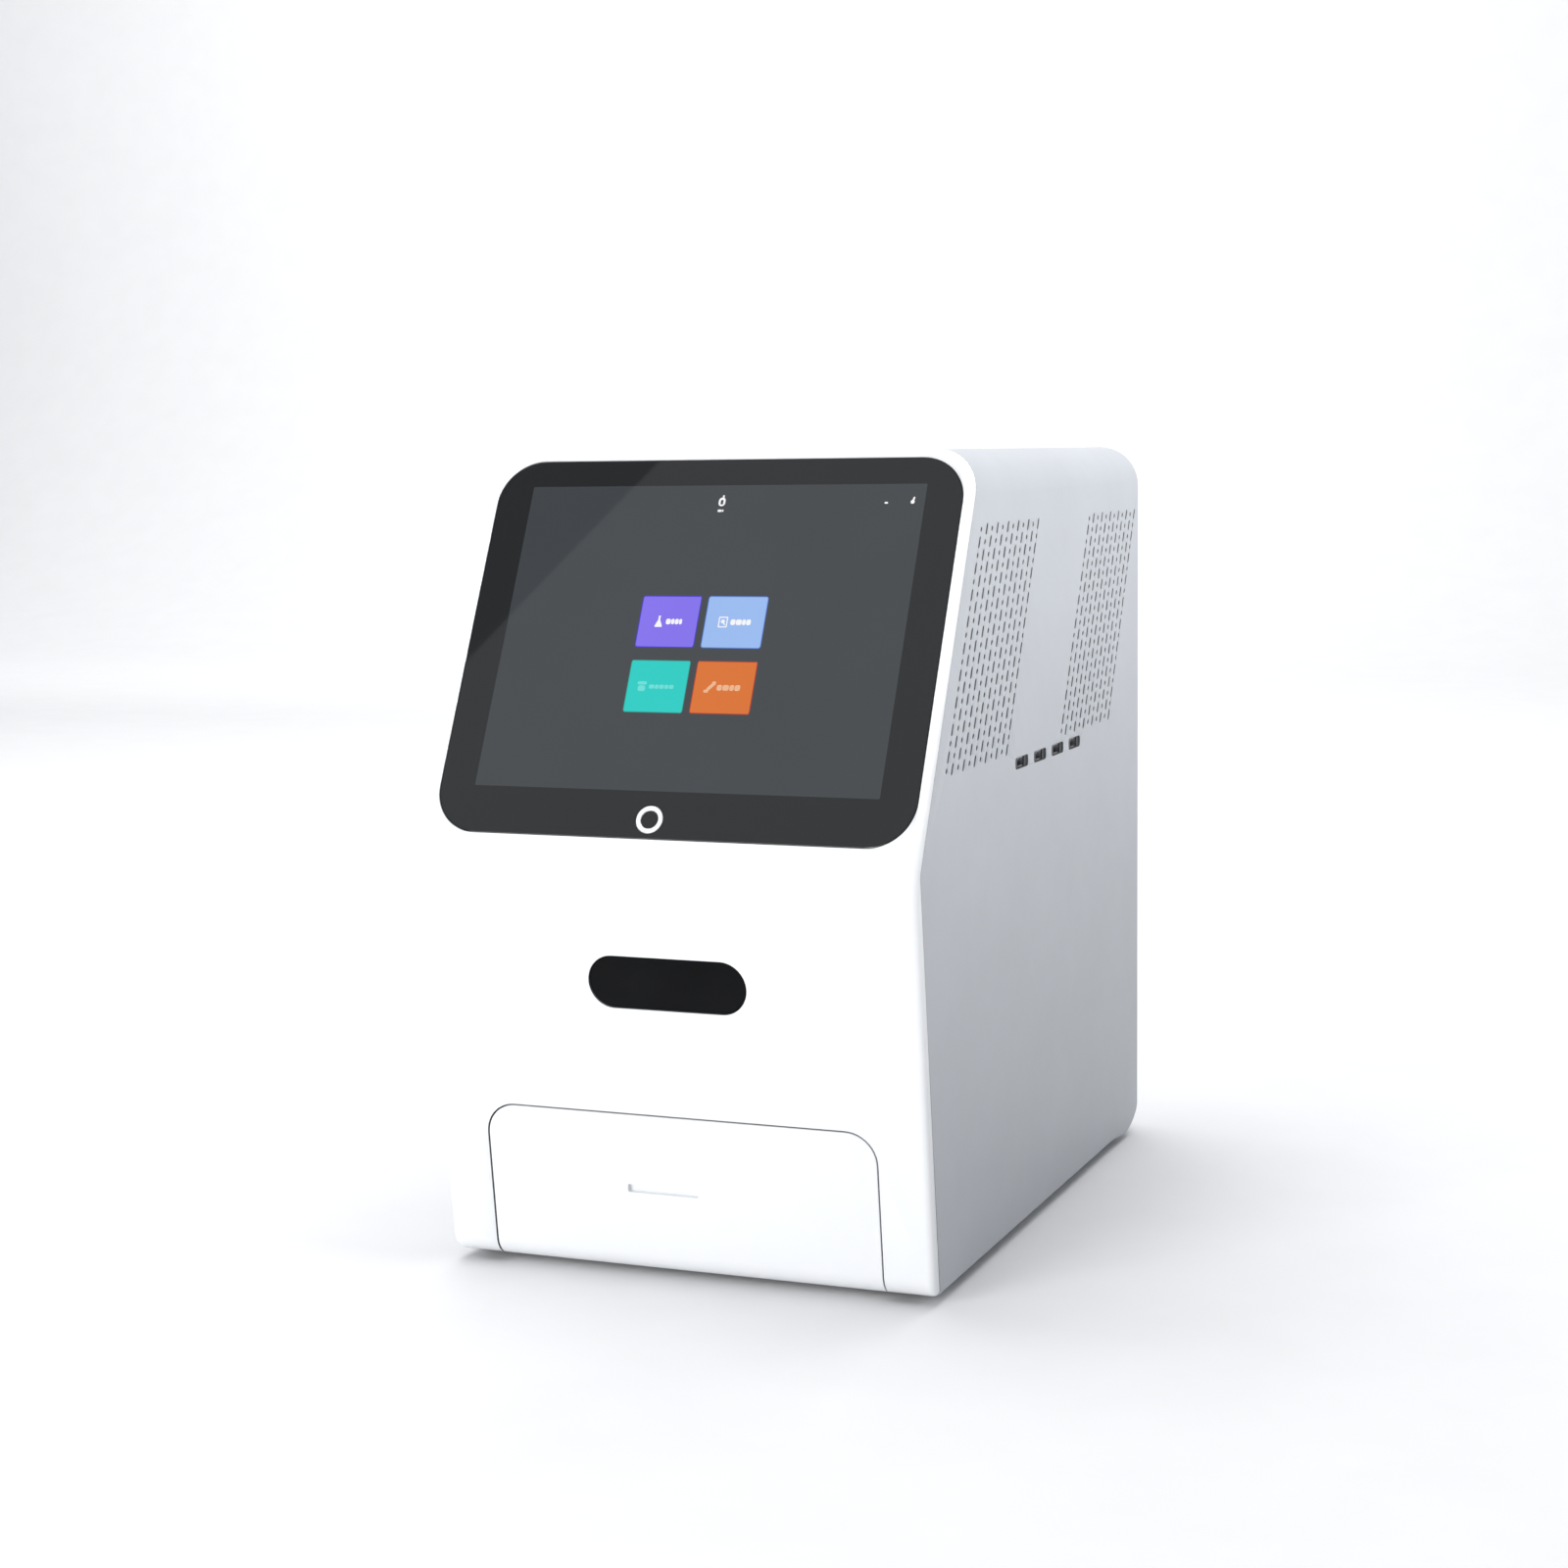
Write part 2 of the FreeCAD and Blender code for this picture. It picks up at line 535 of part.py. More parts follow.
def make_display():
    glass = rounded_plate("glass_plate", "0", "glass_start + glass_length / 2", "-glass_thick",
                          "glass_width", "glass_length", "glass_thick", "glass_corner")
    hole = rod("glass_hole", "button_offset", "button_rise", "-2 * glass_thick",
               "button_radius + button_gap", "4 * glass_thick")
    keep(slope(cut("glass", glass, hole), "screen"), "screen_glass")

    lcd = mid_box("lcd", "0", "screen_centre", "-glass_thick - lcd_thick", "lcd_width",
                  "lcd_length", "lcd_thick")
    keep(slope(lcd, "screen"), "lcd_module")

    # bracket: a tray behind the panel whose two lips rest on the fascia's inner face
    depth = "glass_thick + lcd_thick"
    back = mid_box("bracket_back", "0", "screen_centre", f"-({depth}) - bracket_sheet",
                   "lcd_width + 2 * bracket_sheet + 2 * lcd_gap", "lcd_length - 40",
                   "bracket_sheet")
    parts = [back]
    for tag, sign in (("left", "-1"), ("right", "1")):
        wall_x = f"{sign} * (lcd_width / 2 + lcd_gap + bracket_sheet / 2)"
        parts.append(mid_box(f"bracket_wall_{tag}", wall_x, "screen_centre",
                             f"-({depth}) - bracket_sheet", "bracket_sheet", "lcd_length - 40",
                             f"{depth} + bracket_sheet - fascia_wall"))
        lip_x = f"{sign} * (lcd_width / 2 + lcd_gap + bracket_margin / 2)"
        parts.append(mid_box(f"bracket_lip_{tag}", lip_x, "screen_centre",
                             "-fascia_wall - bracket_sheet", "bracket_margin", "lcd_length - 40",
                             "bracket_sheet"))
    keep(slope(join("bracket", *parts), "screen"), "display_bracket")

    # display board on the bracket, with its driver chips
    board_z = f"-({depth}) - bracket_sheet - board_sheet"
    board = mid_box("board_plate", "0", "screen_centre", board_z, "lcd_width - 100", "90",
                    "board_sheet")
    chips = [mid_box(f"board_chip_{i}", x, f"screen_centre + {y}", f"{board_z} - 3", dx, dy, "3")
             for i, (x, y, dx, dy) in enumerate(
                 (("-30", "10", "28", "28"), ("22", "-14", "18", "24"), ("48", "18", "14", "14")))]
    keep(slope(join("board", board, *chips), "screen"), "display_board")

    # power button: a sprung cap in a sleeve behind the glass, with a white ring set in it
    cap = rod("button_disc", "button_offset", "button_rise", "-button_cap", "button_radius",
              "button_cap")
    stem = rod("button_stem", "button_offset", "button_rise",
               "-button_body_depth - fascia_wall + 2.5 * button_travel",
               "button_radius / 3", "button_body_depth + fascia_wall - 2.5 * button_travel")
    seat = cut("ring_seat", rod("ring_seat_out", "button_offset", "button_rise", "-ring_depth",
                                "button_radius + 1", "2 * ring_depth"),
               rod("ring_seat_in", "button_offset", "button_rise", "-2 * ring_depth",
                   "ring_radius", "4 * ring_depth"))
    keep(slope(cut("button", join("button_solid", cap, stem), seat), "screen"), "power_button")
    ring = cut("ring", rod("ring_out", "button_offset", "button_rise", "-ring_depth",
                           "button_radius", "ring_depth"),
               rod("ring_in", "button_offset", "button_rise", "-2 * ring_depth", "ring_radius",
                   "4 * ring_depth"))
    keep(slope(ring, "screen"), "button_ring")
    sleeve = rod("sleeve_tube", "button_offset", "button_rise",
                 "-fascia_wall - button_body_depth", "button_radius + button_sleeve",
                 "button_body_depth")
    bore = rod("sleeve_bore", "button_offset", "button_rise",
               "-fascia_wall - button_body_depth + 1.2", "button_radius / 3 + button_gap",
               "button_body_depth")
    mouth = rod("sleeve_mouth", "button_offset", "button_rise",
                "-button_cap - button_travel - button_gap - 1", "button_radius + button_gap",
                "20")
    keep(slope(cut("sleeve", sleeve, bore, mouth), "screen"), "button_housing")


def make_window():
    low = "-fascia_wall - gasket_thick"
    plug = pill("pane_plug", "0", "window_rise", low, "window_width - 2 * window_gap",
                "window_height - 2 * window_gap", "fascia_wall + gasket_thick - window_recess")
    flange = pill("pane_flange", "0", "window_rise", f"{low} - pane_flange_thick",
                  "window_width + 2 * window_flange", "window_height + 2 * window_flange",
                  "pane_flange_thick")
    keep(slope(join("pane", plug, flange), "lower"), "window_pane")
    outer = pill("gasket_outer", "0", "window_rise", low, "window_width + 2 * window_flange",
                 "window_height + 2 * window_flange", "gasket_thick")
    inner = pill("gasket_inner", "0", "window_rise", f"{low} - 1", "window_width",
                 "window_height", "gasket_thick + 2")
    keep(slope(cut("gasket", outer, inner), "lower"), "window_gasket")
    # hood: a short black duct from the pane to the dark chamber
    length = f"chamber_front_gap + {low} - pane_flange_thick"
    duct = mid_box("hood_duct", "0", "window_rise", "-chamber_front_gap",
                   "window_width + 2 * hood_wall", "window_height + 2 * hood_wall", length)
    way = mid_box("hood_way", "0", "window_rise", "-chamber_front_gap - 1", "window_width",
                  "window_height", f"{length} + 2")
    keep(slope(cut("hood", duct, way), "lower"), "window_hood")


def frame_outline():
    """A side plate of the frame: behind the fascia below, behind the display above."""
    door = "(floor_z + drawer_top + 4)"
    step = "(nose_z - 2 * chamber_front_gap)"
    low, high = "pan_top", "shelf_z"
    near, deep, far = "fascia_wall + seam", "drawer_front_depth", "chamber_screen_gap"
    return [(lower_line(low, deep), low), (lower_line(door, deep), door),
            (lower_line(door, near), door), (lower_line(step, near), step),
            (upper_line(step, far), step), (upper_line(high, far), high),
            ("chamber_rear + frame_wing", high), ("chamber_rear + frame_wing", "nose_z - 65"),
            ("frame_rear", "floor_z + chamber_floor"), ("frame_rear", low)]


def make_frame():
    for tag, sign in (("left", "-"), ("right", "")):
        level = "frame_x" if sign == "" else "-frame_x - frame_sheet"
        plate = pad(f"frame_plate_{tag}", "YZ_Plane", frame_outline(), "frame_sheet", level=level)
        foot_x = "frame_x" if sign == "" else "-frame_x - frame_lip"
        foot = box(f"frame_foot_{tag}", foot_x, "toe_y + 30", "pan_top", "frame_lip",
                   "frame_rear - toe_y - 30", "frame_sheet")
        lip = box(f"frame_lip_{tag}", foot_x, "stage_y - 50", "shelf_z - frame_sheet",
                  "frame_lip", "chamber_reach + 70", "frame_sheet")
        keep(join(f"frame_{tag}", plate, foot, lip), f"frame_side_{tag}")


def chamber_outline(inset, low, high):
    """The dark chamber from the side, its front parallel to both front planes."""
    near, far = f"chamber_front_gap + {inset}", f"chamber_screen_gap + {inset}"
    bend = (f"(nose_z + (({near}) / cos(panel_tilt) - ({far}) / cos(screen_tilt))"
            " / (tan(screen_tilt) + tan(panel_tilt)))")
    rear = f"chamber_rear - {inset}"
    return [(lower_line(low, near), low), (lower_line(bend, near), bend),
            (upper_line(high, far), high), (rear, high), (rear, low)]


def make_chamber():
    outer = pad("chamber_outer", "YZ_Plane", chamber_outline("0", "floor_z + chamber_floor",
                                                             "shelf_z"),
                "2 * frame_x", centred=True)
    inner = pad("chamber_inner", "YZ_Plane",
                chamber_outline("chamber_sheet", "floor_z + chamber_floor - 10", "shelf_z + 10"),
                "2 * (frame_x - chamber_sheet)", centred=True)
    sight = slope(pill("chamber_sight", "0", "window_rise", "-2 * chamber_front_gap",
                       "window_width", "window_height", "2 * chamber_front_gap"), "lower")
    keep(cut("chamber", outer, inner, sight), "dark_chamber")

    shelf = box("shelf_plate", "-frame_x - frame_lip", "stage_y - 90", "shelf_z",
                "2 * (frame_x + frame_lip)", "chamber_reach + 102", "shelf_sheet")
    aperture = rod("shelf_aperture", "0", "stage_y", "shelf_z - 5", "lens_radius - 2", "20")
    keep(cut("shelf", shelf, aperture), "camera_shelf")

    # white light bars high on the chamber's side walls, with sloped diffuser fronts
    bars, fronts = [], []
    for tag, sign in (("left", -1), ("right", 1)):
        wall = f"{sign} * (frame_x - chamber_sheet)"
        edge = f"{sign} * (frame_x - chamber_sheet - 14)"
        lip = f"{sign} * (frame_x - chamber_sheet - 17)"
        profile = [(wall, "shelf_z - 34"), (wall, "shelf_z - 14"), (edge, "shelf_z - 14")]
        bars.append(pad(f"light_bar_{tag}", "XZ_Plane", profile, "180", level="-stage_y",
                        centred=True))
        film = [(wall, "shelf_z - 34"), (edge, "shelf_z - 14"), (lip, "shelf_z - 14"),
                (wall, "shelf_z - 38")]
        fronts.append(pad(f"light_film_{tag}", "XZ_Plane", film, "180", level="-stage_y",
                          centred=True))
    keep(group("light_bars", *bars), "led_bars")
    keep(group("light_films", *fronts), "led_diffusers")


def make_camera():
    # fixed lens barrel, drawn as half a section and turned round the optical axis
    barrel = doc.addObject("PartDesign::Body", "barrel")
    low, high = "lens_z", "camera_z"
    groove = "lens_radius - ring_wall / 2"
    outline = [("8", low), ("lens_radius", low), ("lens_radius", f"{low} + 8"),
               (groove, f"{low} + 8"), (groove, f"{low} + 20"), ("lens_radius", f"{low} + 20"),
               ("lens_radius", f"{low} + 28"), (groove, f"{low} + 28"), (groove, f"{low} + 44"),
               ("lens_radius", f"{low} + 44"), ("lens_radius", high), ("8", high)]
    turned = sketch(barrel, "XZ_Plane", outline)
    spin = barrel.newObject("PartDesign::Revolution", "barrel_turned")
    spin.Profile = turned
    spin.ReferenceAxis = (turned, ["V_Axis"])
    spin.Angle = 360
    doc.recompute()
    place(barrel, "0", "stage_y", "0")
    glass = [rod(f"lens_glass_{i}", "0", "stage_y", z, "8", "3")
             for i, z in enumerate(("lens_z + 3", "camera_z - 6"))]
    keep(join("barrel_with_glass", barrel, *glass), "lens_barrel")
    for name, start, length, label in (("iris", "8", "12", "aperture_ring"),
                                       ("focus", "28", "16", "focus_ring")):
        sleeve = rod(f"{name}_sleeve", "0", "stage_y", f"lens_z + {start} + ring_play",
                     "lens_radius + ring_wall / 2", f"{length} - 2 * ring_play")
        knob = mid_box(f"{name}_lever", "0", "stage_y - lens_radius - ring_wall / 2 - 1",
                       f"lens_z + {start} + 3", "4", "5", f"{length} - 6")
        bore = rod(f"{name}_bore", "0", "stage_y", "lens_z",
                   "lens_radius - ring_wall / 2 + ring_play / 4", "lens_length")
        keep(cut(f"{name}_ring", join(f"{name}_solid", sleeve, knob), bore), label)

    block = mid_box("camera_block", "0", "stage_y", "camera_z", "camera_width",
                    "camera_width", "camera_length")
    gap = "camera_length / (2 * fin_count + 1)"
    slots = [cut(f"camera_slot_{i}",
                 mid_box(f"camera_slot_out_{i}", "0", "stage_y",
                         f"camera_z + {2 * i + 1} * {gap}", "2 * camera_width",
                         "camera_width - 12", gap),
                 mid_box(f"camera_slot_in_{i}", "0", "stage_y", "camera_z - 1",
                         "camera_width - 2 * fin_depth", "camera_width", "camera_length + 2"))
             for i in range(SIZES["fin_count"])]
    keep(cut("camera", block, *slots), "camera_body")

    # bracket: foot on the shelf, post beside the lens, arm under the camera
    post_x = "-(camera_width / 2 + 6)"
    post = box("post_plate", post_x, "stage_y - 25", "shelf_top", "6", "50",
               "camera_z + 30 - shelf_top")
    foot = box("post_foot", f"{post_x} - 24", "stage_y - 25", "shelf_top", "24", "50", "4")
    rib = box("post_rib", f"{post_x} - 14", "stage_y - 3", "shelf_top + 4", "14", "6", "70")
    keep(join("post", post, foot, rib), "camera_bracket")

    # filter wheel over the shelf, turned by a small motor on a bridge
    wheel = rod("wheel_disc", "wheel_x", "stage_y", "wheel_z", "wheel_radius", "wheel_thick")
    boss = rod("wheel_boss", "wheel_x", "stage_y", "wheel_z", "8", "wheel_thick + 3")
    bore = rod("wheel_bore", "wheel_x", "stage_y", "wheel_z - 5", "shaft_radius", "40")
    holes, discs = [], []
    for i in range(SIZES["filter_count"]):
        turn = f"(180 + {i} * 360 / filter_count)"
        x = f"wheel_x + wheel_reach * cos({turn})"
        y = f"stage_y + wheel_reach * sin({turn})"
        holes.append(rod(f"wheel_hole_{i}", x, y, "wheel_z - 5", "filter_radius - filter_ledge",
                         "20"))
        holes.append(rod(f"wheel_seat_{i}", x, y, "wheel_top - filter_disc",
                         "filter_radius + ring_play / 4", "20"))
        discs.append(rod(f"filter_{i}", x, y, "wheel_top - filter_disc", "filter_radius",
                         "filter_disc"))
    keep(cut("wheel_cut", join("wheel_solid", wheel, boss), bore, *holes), "filter_wheel")
    keep(group("filters", *discs), "filter_glasses")
    keep(rod("spindle", "wheel_x", "stage_y", "wheel_z - 3", "shaft_radius",
             "wheel_thick + 26"), "wheel_shaft")
    bridge_z = "wheel_top + 7"
    arm_x = "wheel_x - motor_width / 2"
    outer_x = "wheel_x + wheel_radius + 3"
    arm = box("bridge_arm", arm_x, "stage_y - motor_width / 2", bridge_z,
              f"{outer_x} + 3 - ({arm_x})", "motor_width", "3")
    leg = box("bridge_leg", outer_x, "stage_y - motor_width / 2", "shelf_top", "3",
              "motor_width", f"{bridge_z} - shelf_top")
    way = rod("bridge_way", "wheel_x", "stage_y", f"{bridge_z} - 1", "shaft_radius + 3", "6")
    keep(cut("bridge", join("bridge_solid", arm, leg), way), "wheel_bracket")
    motor = mid_box("motor_block", "wheel_x", "stage_y", f"{bridge_z} + 3", "motor_width",
                    "motor_width", "motor_length")
    socket = rod("motor_bore", "wheel_x", "stage_y", bridge_z, "shaft_radius + 0.05", "18")
    keep(cut("motor", motor, socket), "wheel_motor")


def make_rear():
    # panel behind the cover's rear opening, with fan slots and two switch cut-outs
    panel = mid_box("panel_sheet", "0", "panel_y + rear_sheet / 2", "floor_z + rear_low - rear_lap",
                    "rear_width + 2 * rear_lap", "rear_sheet",
                    "rear_high - rear_low + 2 * rear_lap")
    slots = [mid_box(f"panel_slot_{i}", "0", "panel_y", f"fan_z - 29.5 + {i} * 8",
                     f"2 * sqrt(33 ^ 2 - ({i} * 8 - 28) ^ 2)", "10", "3.4") for i in range(8)]
    ways = [mid_box("inlet_way", "inlet_offset", "panel_y", "inlet_z - inlet_height / 2 + 0.5",
                    "inlet_width - 1", "10", "inlet_height - 1"),
            mid_box("rocker_way", "rocker_offset", "panel_y", "inlet_z - rocker_height / 2 + 0.5",
                    "rocker_width - 1", "10", "rocker_height - 1")]
    keep(cut("panel", panel, *slots, *ways), "rear_panel")
    screws = [rod(f"screw_{i}", f"{x} * (rear_width / 2 - 8)", "rear_inner",
                  f"floor_z + {z}", "screw_radius", "screw_head", axis="y")
              for i, (x, z) in enumerate([(x, z) for x in (-1, 1) for z in
                                          ("rear_low + 8", "(rear_low + rear_high) / 2",
                                           "rear_high - 8")])]
    keep(group("screws", *screws), "panel_screws")

    # inlet: a flanged shell with three blades in its socket
    shell = join("inlet_shell",
                 mid_box("inlet_flange", "inlet_offset", "rear_inner + 1",
                         "inlet_z - inlet_height / 2 - 3", "inlet_width + 6", "2",
                         "inlet_height + 6"),
                 mid_box("inlet_body", "inlet_offset", "rear_inner - inlet_depth / 2",
                         "inlet_z - inlet_height / 2 + 0.5", "inlet_width - 1", "inlet_depth",
                         "inlet_height - 1"))
    cavity = mid_box("inlet_cavity", "inlet_offset", "rear_inner", "inlet_z - 8", "24", "32", "16")
    blades = [mid_box(f"inlet_blade_{i}", f"inlet_offset + {x}", "rear_inner - 9.5",
                      f"inlet_z + {z}", "2", "13", "4")
              for i, (x, z) in enumerate((("-7", "-5"), ("0", "1"), ("7", "-5")))]
    keep(join("inlet", cut("inlet_case", shell, cavity), *blades), "power_inlet")

    # mains switch: a frame with a rocking cap on a pin
    frame = join("rocker_frame",
                 mid_box("rocker_flange", "rocker_offset", "rear_inner + 0.75",
                         "inlet_z - rocker_height / 2 - 1.5", "rocker_width + 3", "1.5",
                         "rocker_height + 3"),
                 mid_box("rocker_body", "rocker_offset", "rear_inner - 8",
                         "inlet_z - rocker_height / 2 + 0.5", "rocker_width - 1", "16",
                         "rocker_height - 1"))
    well = mid_box("rocker_well", "rocker_offset", "rear_inner - 2", "inlet_z - 8.2",
                   "rocker_width - 3", "20", "16.4")
    pins = rod("rocker_pin", "rocker_offset - rocker_width / 2 + 1", "rear_inner - 3", "inlet_z",
               "1", "rocker_width - 2", axis="x")
    keep(join("rocker_case", cut("rocker_open", frame, well), pins), "rocker_housing")
    half = "(rocker_width - 3.8) / 2"
    body = pad("rocker_cap", "YZ_Plane",
               [("-2.6", "-5"), ("2.2", "-7.4"), ("3.2", "-7.4"), ("1.6", "0"), ("3.2", "7.4"),
                ("2.2", "7.4"), ("-2.6", "5")], f"2 * {half}", centred=True)
    place(body, "rocker_offset", "rear_inner - 3", "inlet_z")
    body.Placement.Rotation = FreeCAD.Rotation(FreeCAD.Vector(1, 0, 0), 1)
    bind(body, {"Placement.Rotation.Angle": "rocker_swing / 2"})
    eye = rod("rocker_eye", "rocker_offset - rocker_width", "rear_inner - 3", "inlet_z", "1.05",
              "2 * rocker_width", axis="x")
    keep(cut("rocker", body, eye), "power_rocker")

    # fan behind the slots: square frame with four struts, and a bladed rotor on its pin
    back = "panel_y - fan_depth"
    frame = mid_box("fan_block", "0", f"{back} + fan_depth / 2", "fan_z - fan_size / 2",
                    "fan_size", "fan_depth", "fan_size")
    tunnel = rod("fan_tunnel", "0", f"{back} - 1", "fan_z", "fan_size / 2 - 2", "fan_depth + 2",
                 axis="y")
    struts = [mid_box("fan_strut_level", "0", f"{back} + 1.5", "fan_z - 2", "fan_size - 2", "3",
                      "4"),
              mid_box("fan_strut_upright", "0", f"{back} + 1.5", "fan_z - fan_size / 2 + 1", "4",
                      "3", "fan_size - 2")]
    plate = rod("fan_motor", "0", back, "fan_z", "hub_radius", "4", axis="y")
    pin = rod("fan_pin", "0", back, "fan_z", "2", "16", axis="y")
    keep(join("fan", cut("fan_open", frame, tunnel), *struts, plate, pin), "fan_frame")
    hub = cut("fan_hub", rod("fan_hub_solid", "0", f"{back} + 5", "fan_z", "hub_radius", "18",
                             axis="y"),
              rod("fan_hub_bore", "0", f"{back} + 4", "fan_z", "2.05", "30", axis="y"))
    blades = doc.addObject("Part::Feature", "fan_blades")
    blades.Shape = Part.makeCompound(fan_blades())
    place(blades, "0", f"{back} + 14", "fan_z")
    keep(join("fan_wheel", hub, blades), "fan_rotor")


def fan_blades():
    """Pitched blades round the hub, as thin plates about the y axis."""
    root, tip = num("hub_radius") - 1, num("fan_size") / 2 - 2 - num("fan_play")
    sheet, chord = num("blade_sheet"), num("blade_chord")
    count = int(num("blade_count"))
    blades = []
    for i in range(count):
        blade = Part.makeBox(chord, sheet, tip - root,
                             FreeCAD.Vector(-chord / 2, -sheet / 2, root))
        blade.rotate(FreeCAD.Vector(), FreeCAD.Vector(0, 0, 1), num("blade_pitch"))
        ring = Part.makeCylinder(tip, 2 * chord, FreeCAD.Vector(0, -chord, 0), FreeCAD.Vector(0, 1, 0))
        blade = blade.common(ring)
        blade.rotate(FreeCAD.Vector(), FreeCAD.Vector(0, 1, 0), 360.0 * i / count)
        blades.append(blade)
    return blades


def make_sockets():
    """The row of data sockets in the right side, and the dust screens behind the vents."""
    strip_length = "socket_count * socket_pitch"
    strip = box("socket_strip", "cover_inner - 1.5",
                "socket_y - socket_pitch / 2", "socket_z - 5.5", "1.5",
                strip_length, "9.5")
    tongues = []
    pads, ways, shells = [], [], []
    for i, y in enumerate(socket_places()):
        pads.append(mid_box(f"socket_pad_{i}", "cover_inner + (cover_wall - 0.8) / 2 - 0.5", y,
                            "socket_z - socket_height / 2 + socket_gap", "cover_wall - 0.8 + 1",
                            "socket_width - 2 * socket_gap", "socket_height - 2 * socket_gap"))
        ways.append(mid_box(f"socket_way_{i}", "cover_inner", y, "socket_z - 2.9", "12", "13.4",
                            "5.8"))
        tube = cut(f"socket_tube_{i}",
                   box(f"socket_out_{i}", "cover_inner - 13", f"{y} - 6.55", "socket_z - 2.75",
                       "14", "13.1", "5.5"),
                   box(f"socket_in_{i}", "cover_inner - 12.5", f"{y} - 6.15", "socket_z - 2.35",
                       "20", "12.3", "4.7"))
        tongue = box(f"socket_tongue_{i}", "cover_inner - 12.8", f"{y} - 5.5", "socket_z + 0.1",
                     "11.5", "11", "1.8")
        tongues.append(tongue)
        shells.append(join(f"socket_{i}", tube, tongue))
    keep(cut("socket_face", join("socket_strip_pads", strip, *pads), *ways), "usb_bezel")
    keep(group("sockets", *shells), "usb_sockets")
    board_x = "cover_inner - 13 - board_sheet"
    board = box("hub_board", board_x, "socket_y - socket_pitch / 2",
                "socket_z - 22", "board_sheet", strip_length, "30")
    posts = [rod(f"hub_post_{i}", "frame_x + frame_sheet",
                 f"socket_y + {k} * socket_pitch", "socket_z - 16", "2.5",
                 f"{board_x} - frame_x - frame_sheet", axis="x")
             for i, k in enumerate(("-0.3", "2.3"))]
    keep(join("hub", board, *posts), "usb_board")

    high, low = "vent_z + 8", "vent_z - (vent_rows - 1) * vent_row_pitch - 5"
    lean = "((vent_rows - 1) * vent_row_pitch + 14) * tan(screen_tilt)"
    front = "vent_y - 4"
    back = "rear_y - vent_back + 5"
    outline = [(f"{front} - {lean}", low), (f"{back} - {lean}", low), (f"{back} + 2", high),
               (f"{front} + 2", high)]
    pads = [pad(f"screen_{tag}", "YZ_Plane", outline, "vent_screen", level=level)
            for tag, level in (("left", "-cover_inner"), ("right", "cover_inner - vent_screen"))]
    keep(group("screens", *pads), "dust_filters")


def make_electronics():
    supply = join("supply_solid",
                  box("supply_case", "5 - supply_width", "supply_y", "pan_top", "supply_width",
                      "supply_length", "supply_height"),
                  box("supply_terminals", "5", "supply_y + 6", "pan_top", "12",
                      "supply_length - 12", "14"))
    grille = [box(f"supply_slot_{i}", f"15 - supply_width + {i} * 10", "supply_y + 10",
                  "pan_top + supply_height - 2", "4", "supply_length - 20", "10")
              for i in range(9)]
    keep(cut("supply", supply, *grille), "power_supply")

    # control board on posts behind the chamber, with its heat sink and edge connectors
    board_y = "chamber_rear + 8"
    board_low = "shelf_z - 20 - board_height"
    board = box("main_plate", "-board_width / 2", board_y, board_low, "board_width",
                "board_sheet", "board_height")
    posts = [rod(f"main_post_{i}", f"{side} * (board_width / 2 - 7)", "chamber_rear", z, "3", "8",
                 axis="y")
             for i, (side, z) in enumerate([(side, z) for side in ("-1", "1")
                                            for z in (f"{board_low} + 8", "shelf_z - 28")])]
    front = f"{board_y} + board_sheet"
    sink = box("main_sink", "-30", front, "shelf_z - 110", "60", "22", "60")
    cuts = [box(f"main_sink_cut_{i}", f"-26 + {i} * 8", f"{front} + 5", "shelf_z - 120", "4",
                "30", "80") for i in range(7)]
    blocks = [box(f"main_block_{i}", x, front, z, dx, dy, dz)
              for i, (x, z, dx, dy, dz) in enumerate(
                  (("-90", "shelf_z - 184", "60", "10", "12"),
                   ("-20", "shelf_z - 184", "40", "14", "14"),
                   ("50", "shelf_z - 150", "30", "4", "30"),
                   ("-86", "shelf_z - 90", "22", "18", "22")))]
    keep(join("main", board, *posts, cut("main_fins", sink, *cuts), *blocks), "mainboard")


def channel(web, flange, height, level, open_side):
    """Half section of a slide member: a web with two flanges, as an outline."""
    low, high = f"{level} - ({height}) / 2", f"{level} + ({height}) / 2"
    steel = "slide_steel"
    inner = f"{web} {open_side} {steel}"
    return [(web, low), (flange, low), (flange, f"{low} + {steel}"), (inner, f"{low} + {steel}"),
            (inner, f"{high} - {steel}"), (flange, f"{high} - {steel}"), (flange, high),
            (web, high)]


def make_slides():
    """Three-member drawer slides on each side: cabinet, middle and drawer members."""
    step = "(slide_steel + slide_play)"
    outer = channel("frame_x", "tray_x + 0.5", "slide_height", "slide_z", "-")
    middle = channel(f"frame_x - {step}", f"tray_x + {step}",
                     f"slide_height - 2 * {step}", "slide_z", "-")
    inner = channel("tray_x", f"frame_x - 2 * {step}",
                    f"slide_height - 4 * {step}", "slide_z", "+")
    for label, outline, length in (("slide_outer", outer, "slide_length"),
                                   ("slide_middle", middle, "slide_length - 10"),
                                   ("slide_inner", inner, "slide_length - 10")):
        right = pad(f"{label}_right", "XZ_Plane", outline, length, level="-slide_y", back=True)
        keep(right, f"{label}_right")
        left = mirrored(f"{label}_left", right)
        keep(left, f"{label}_left")


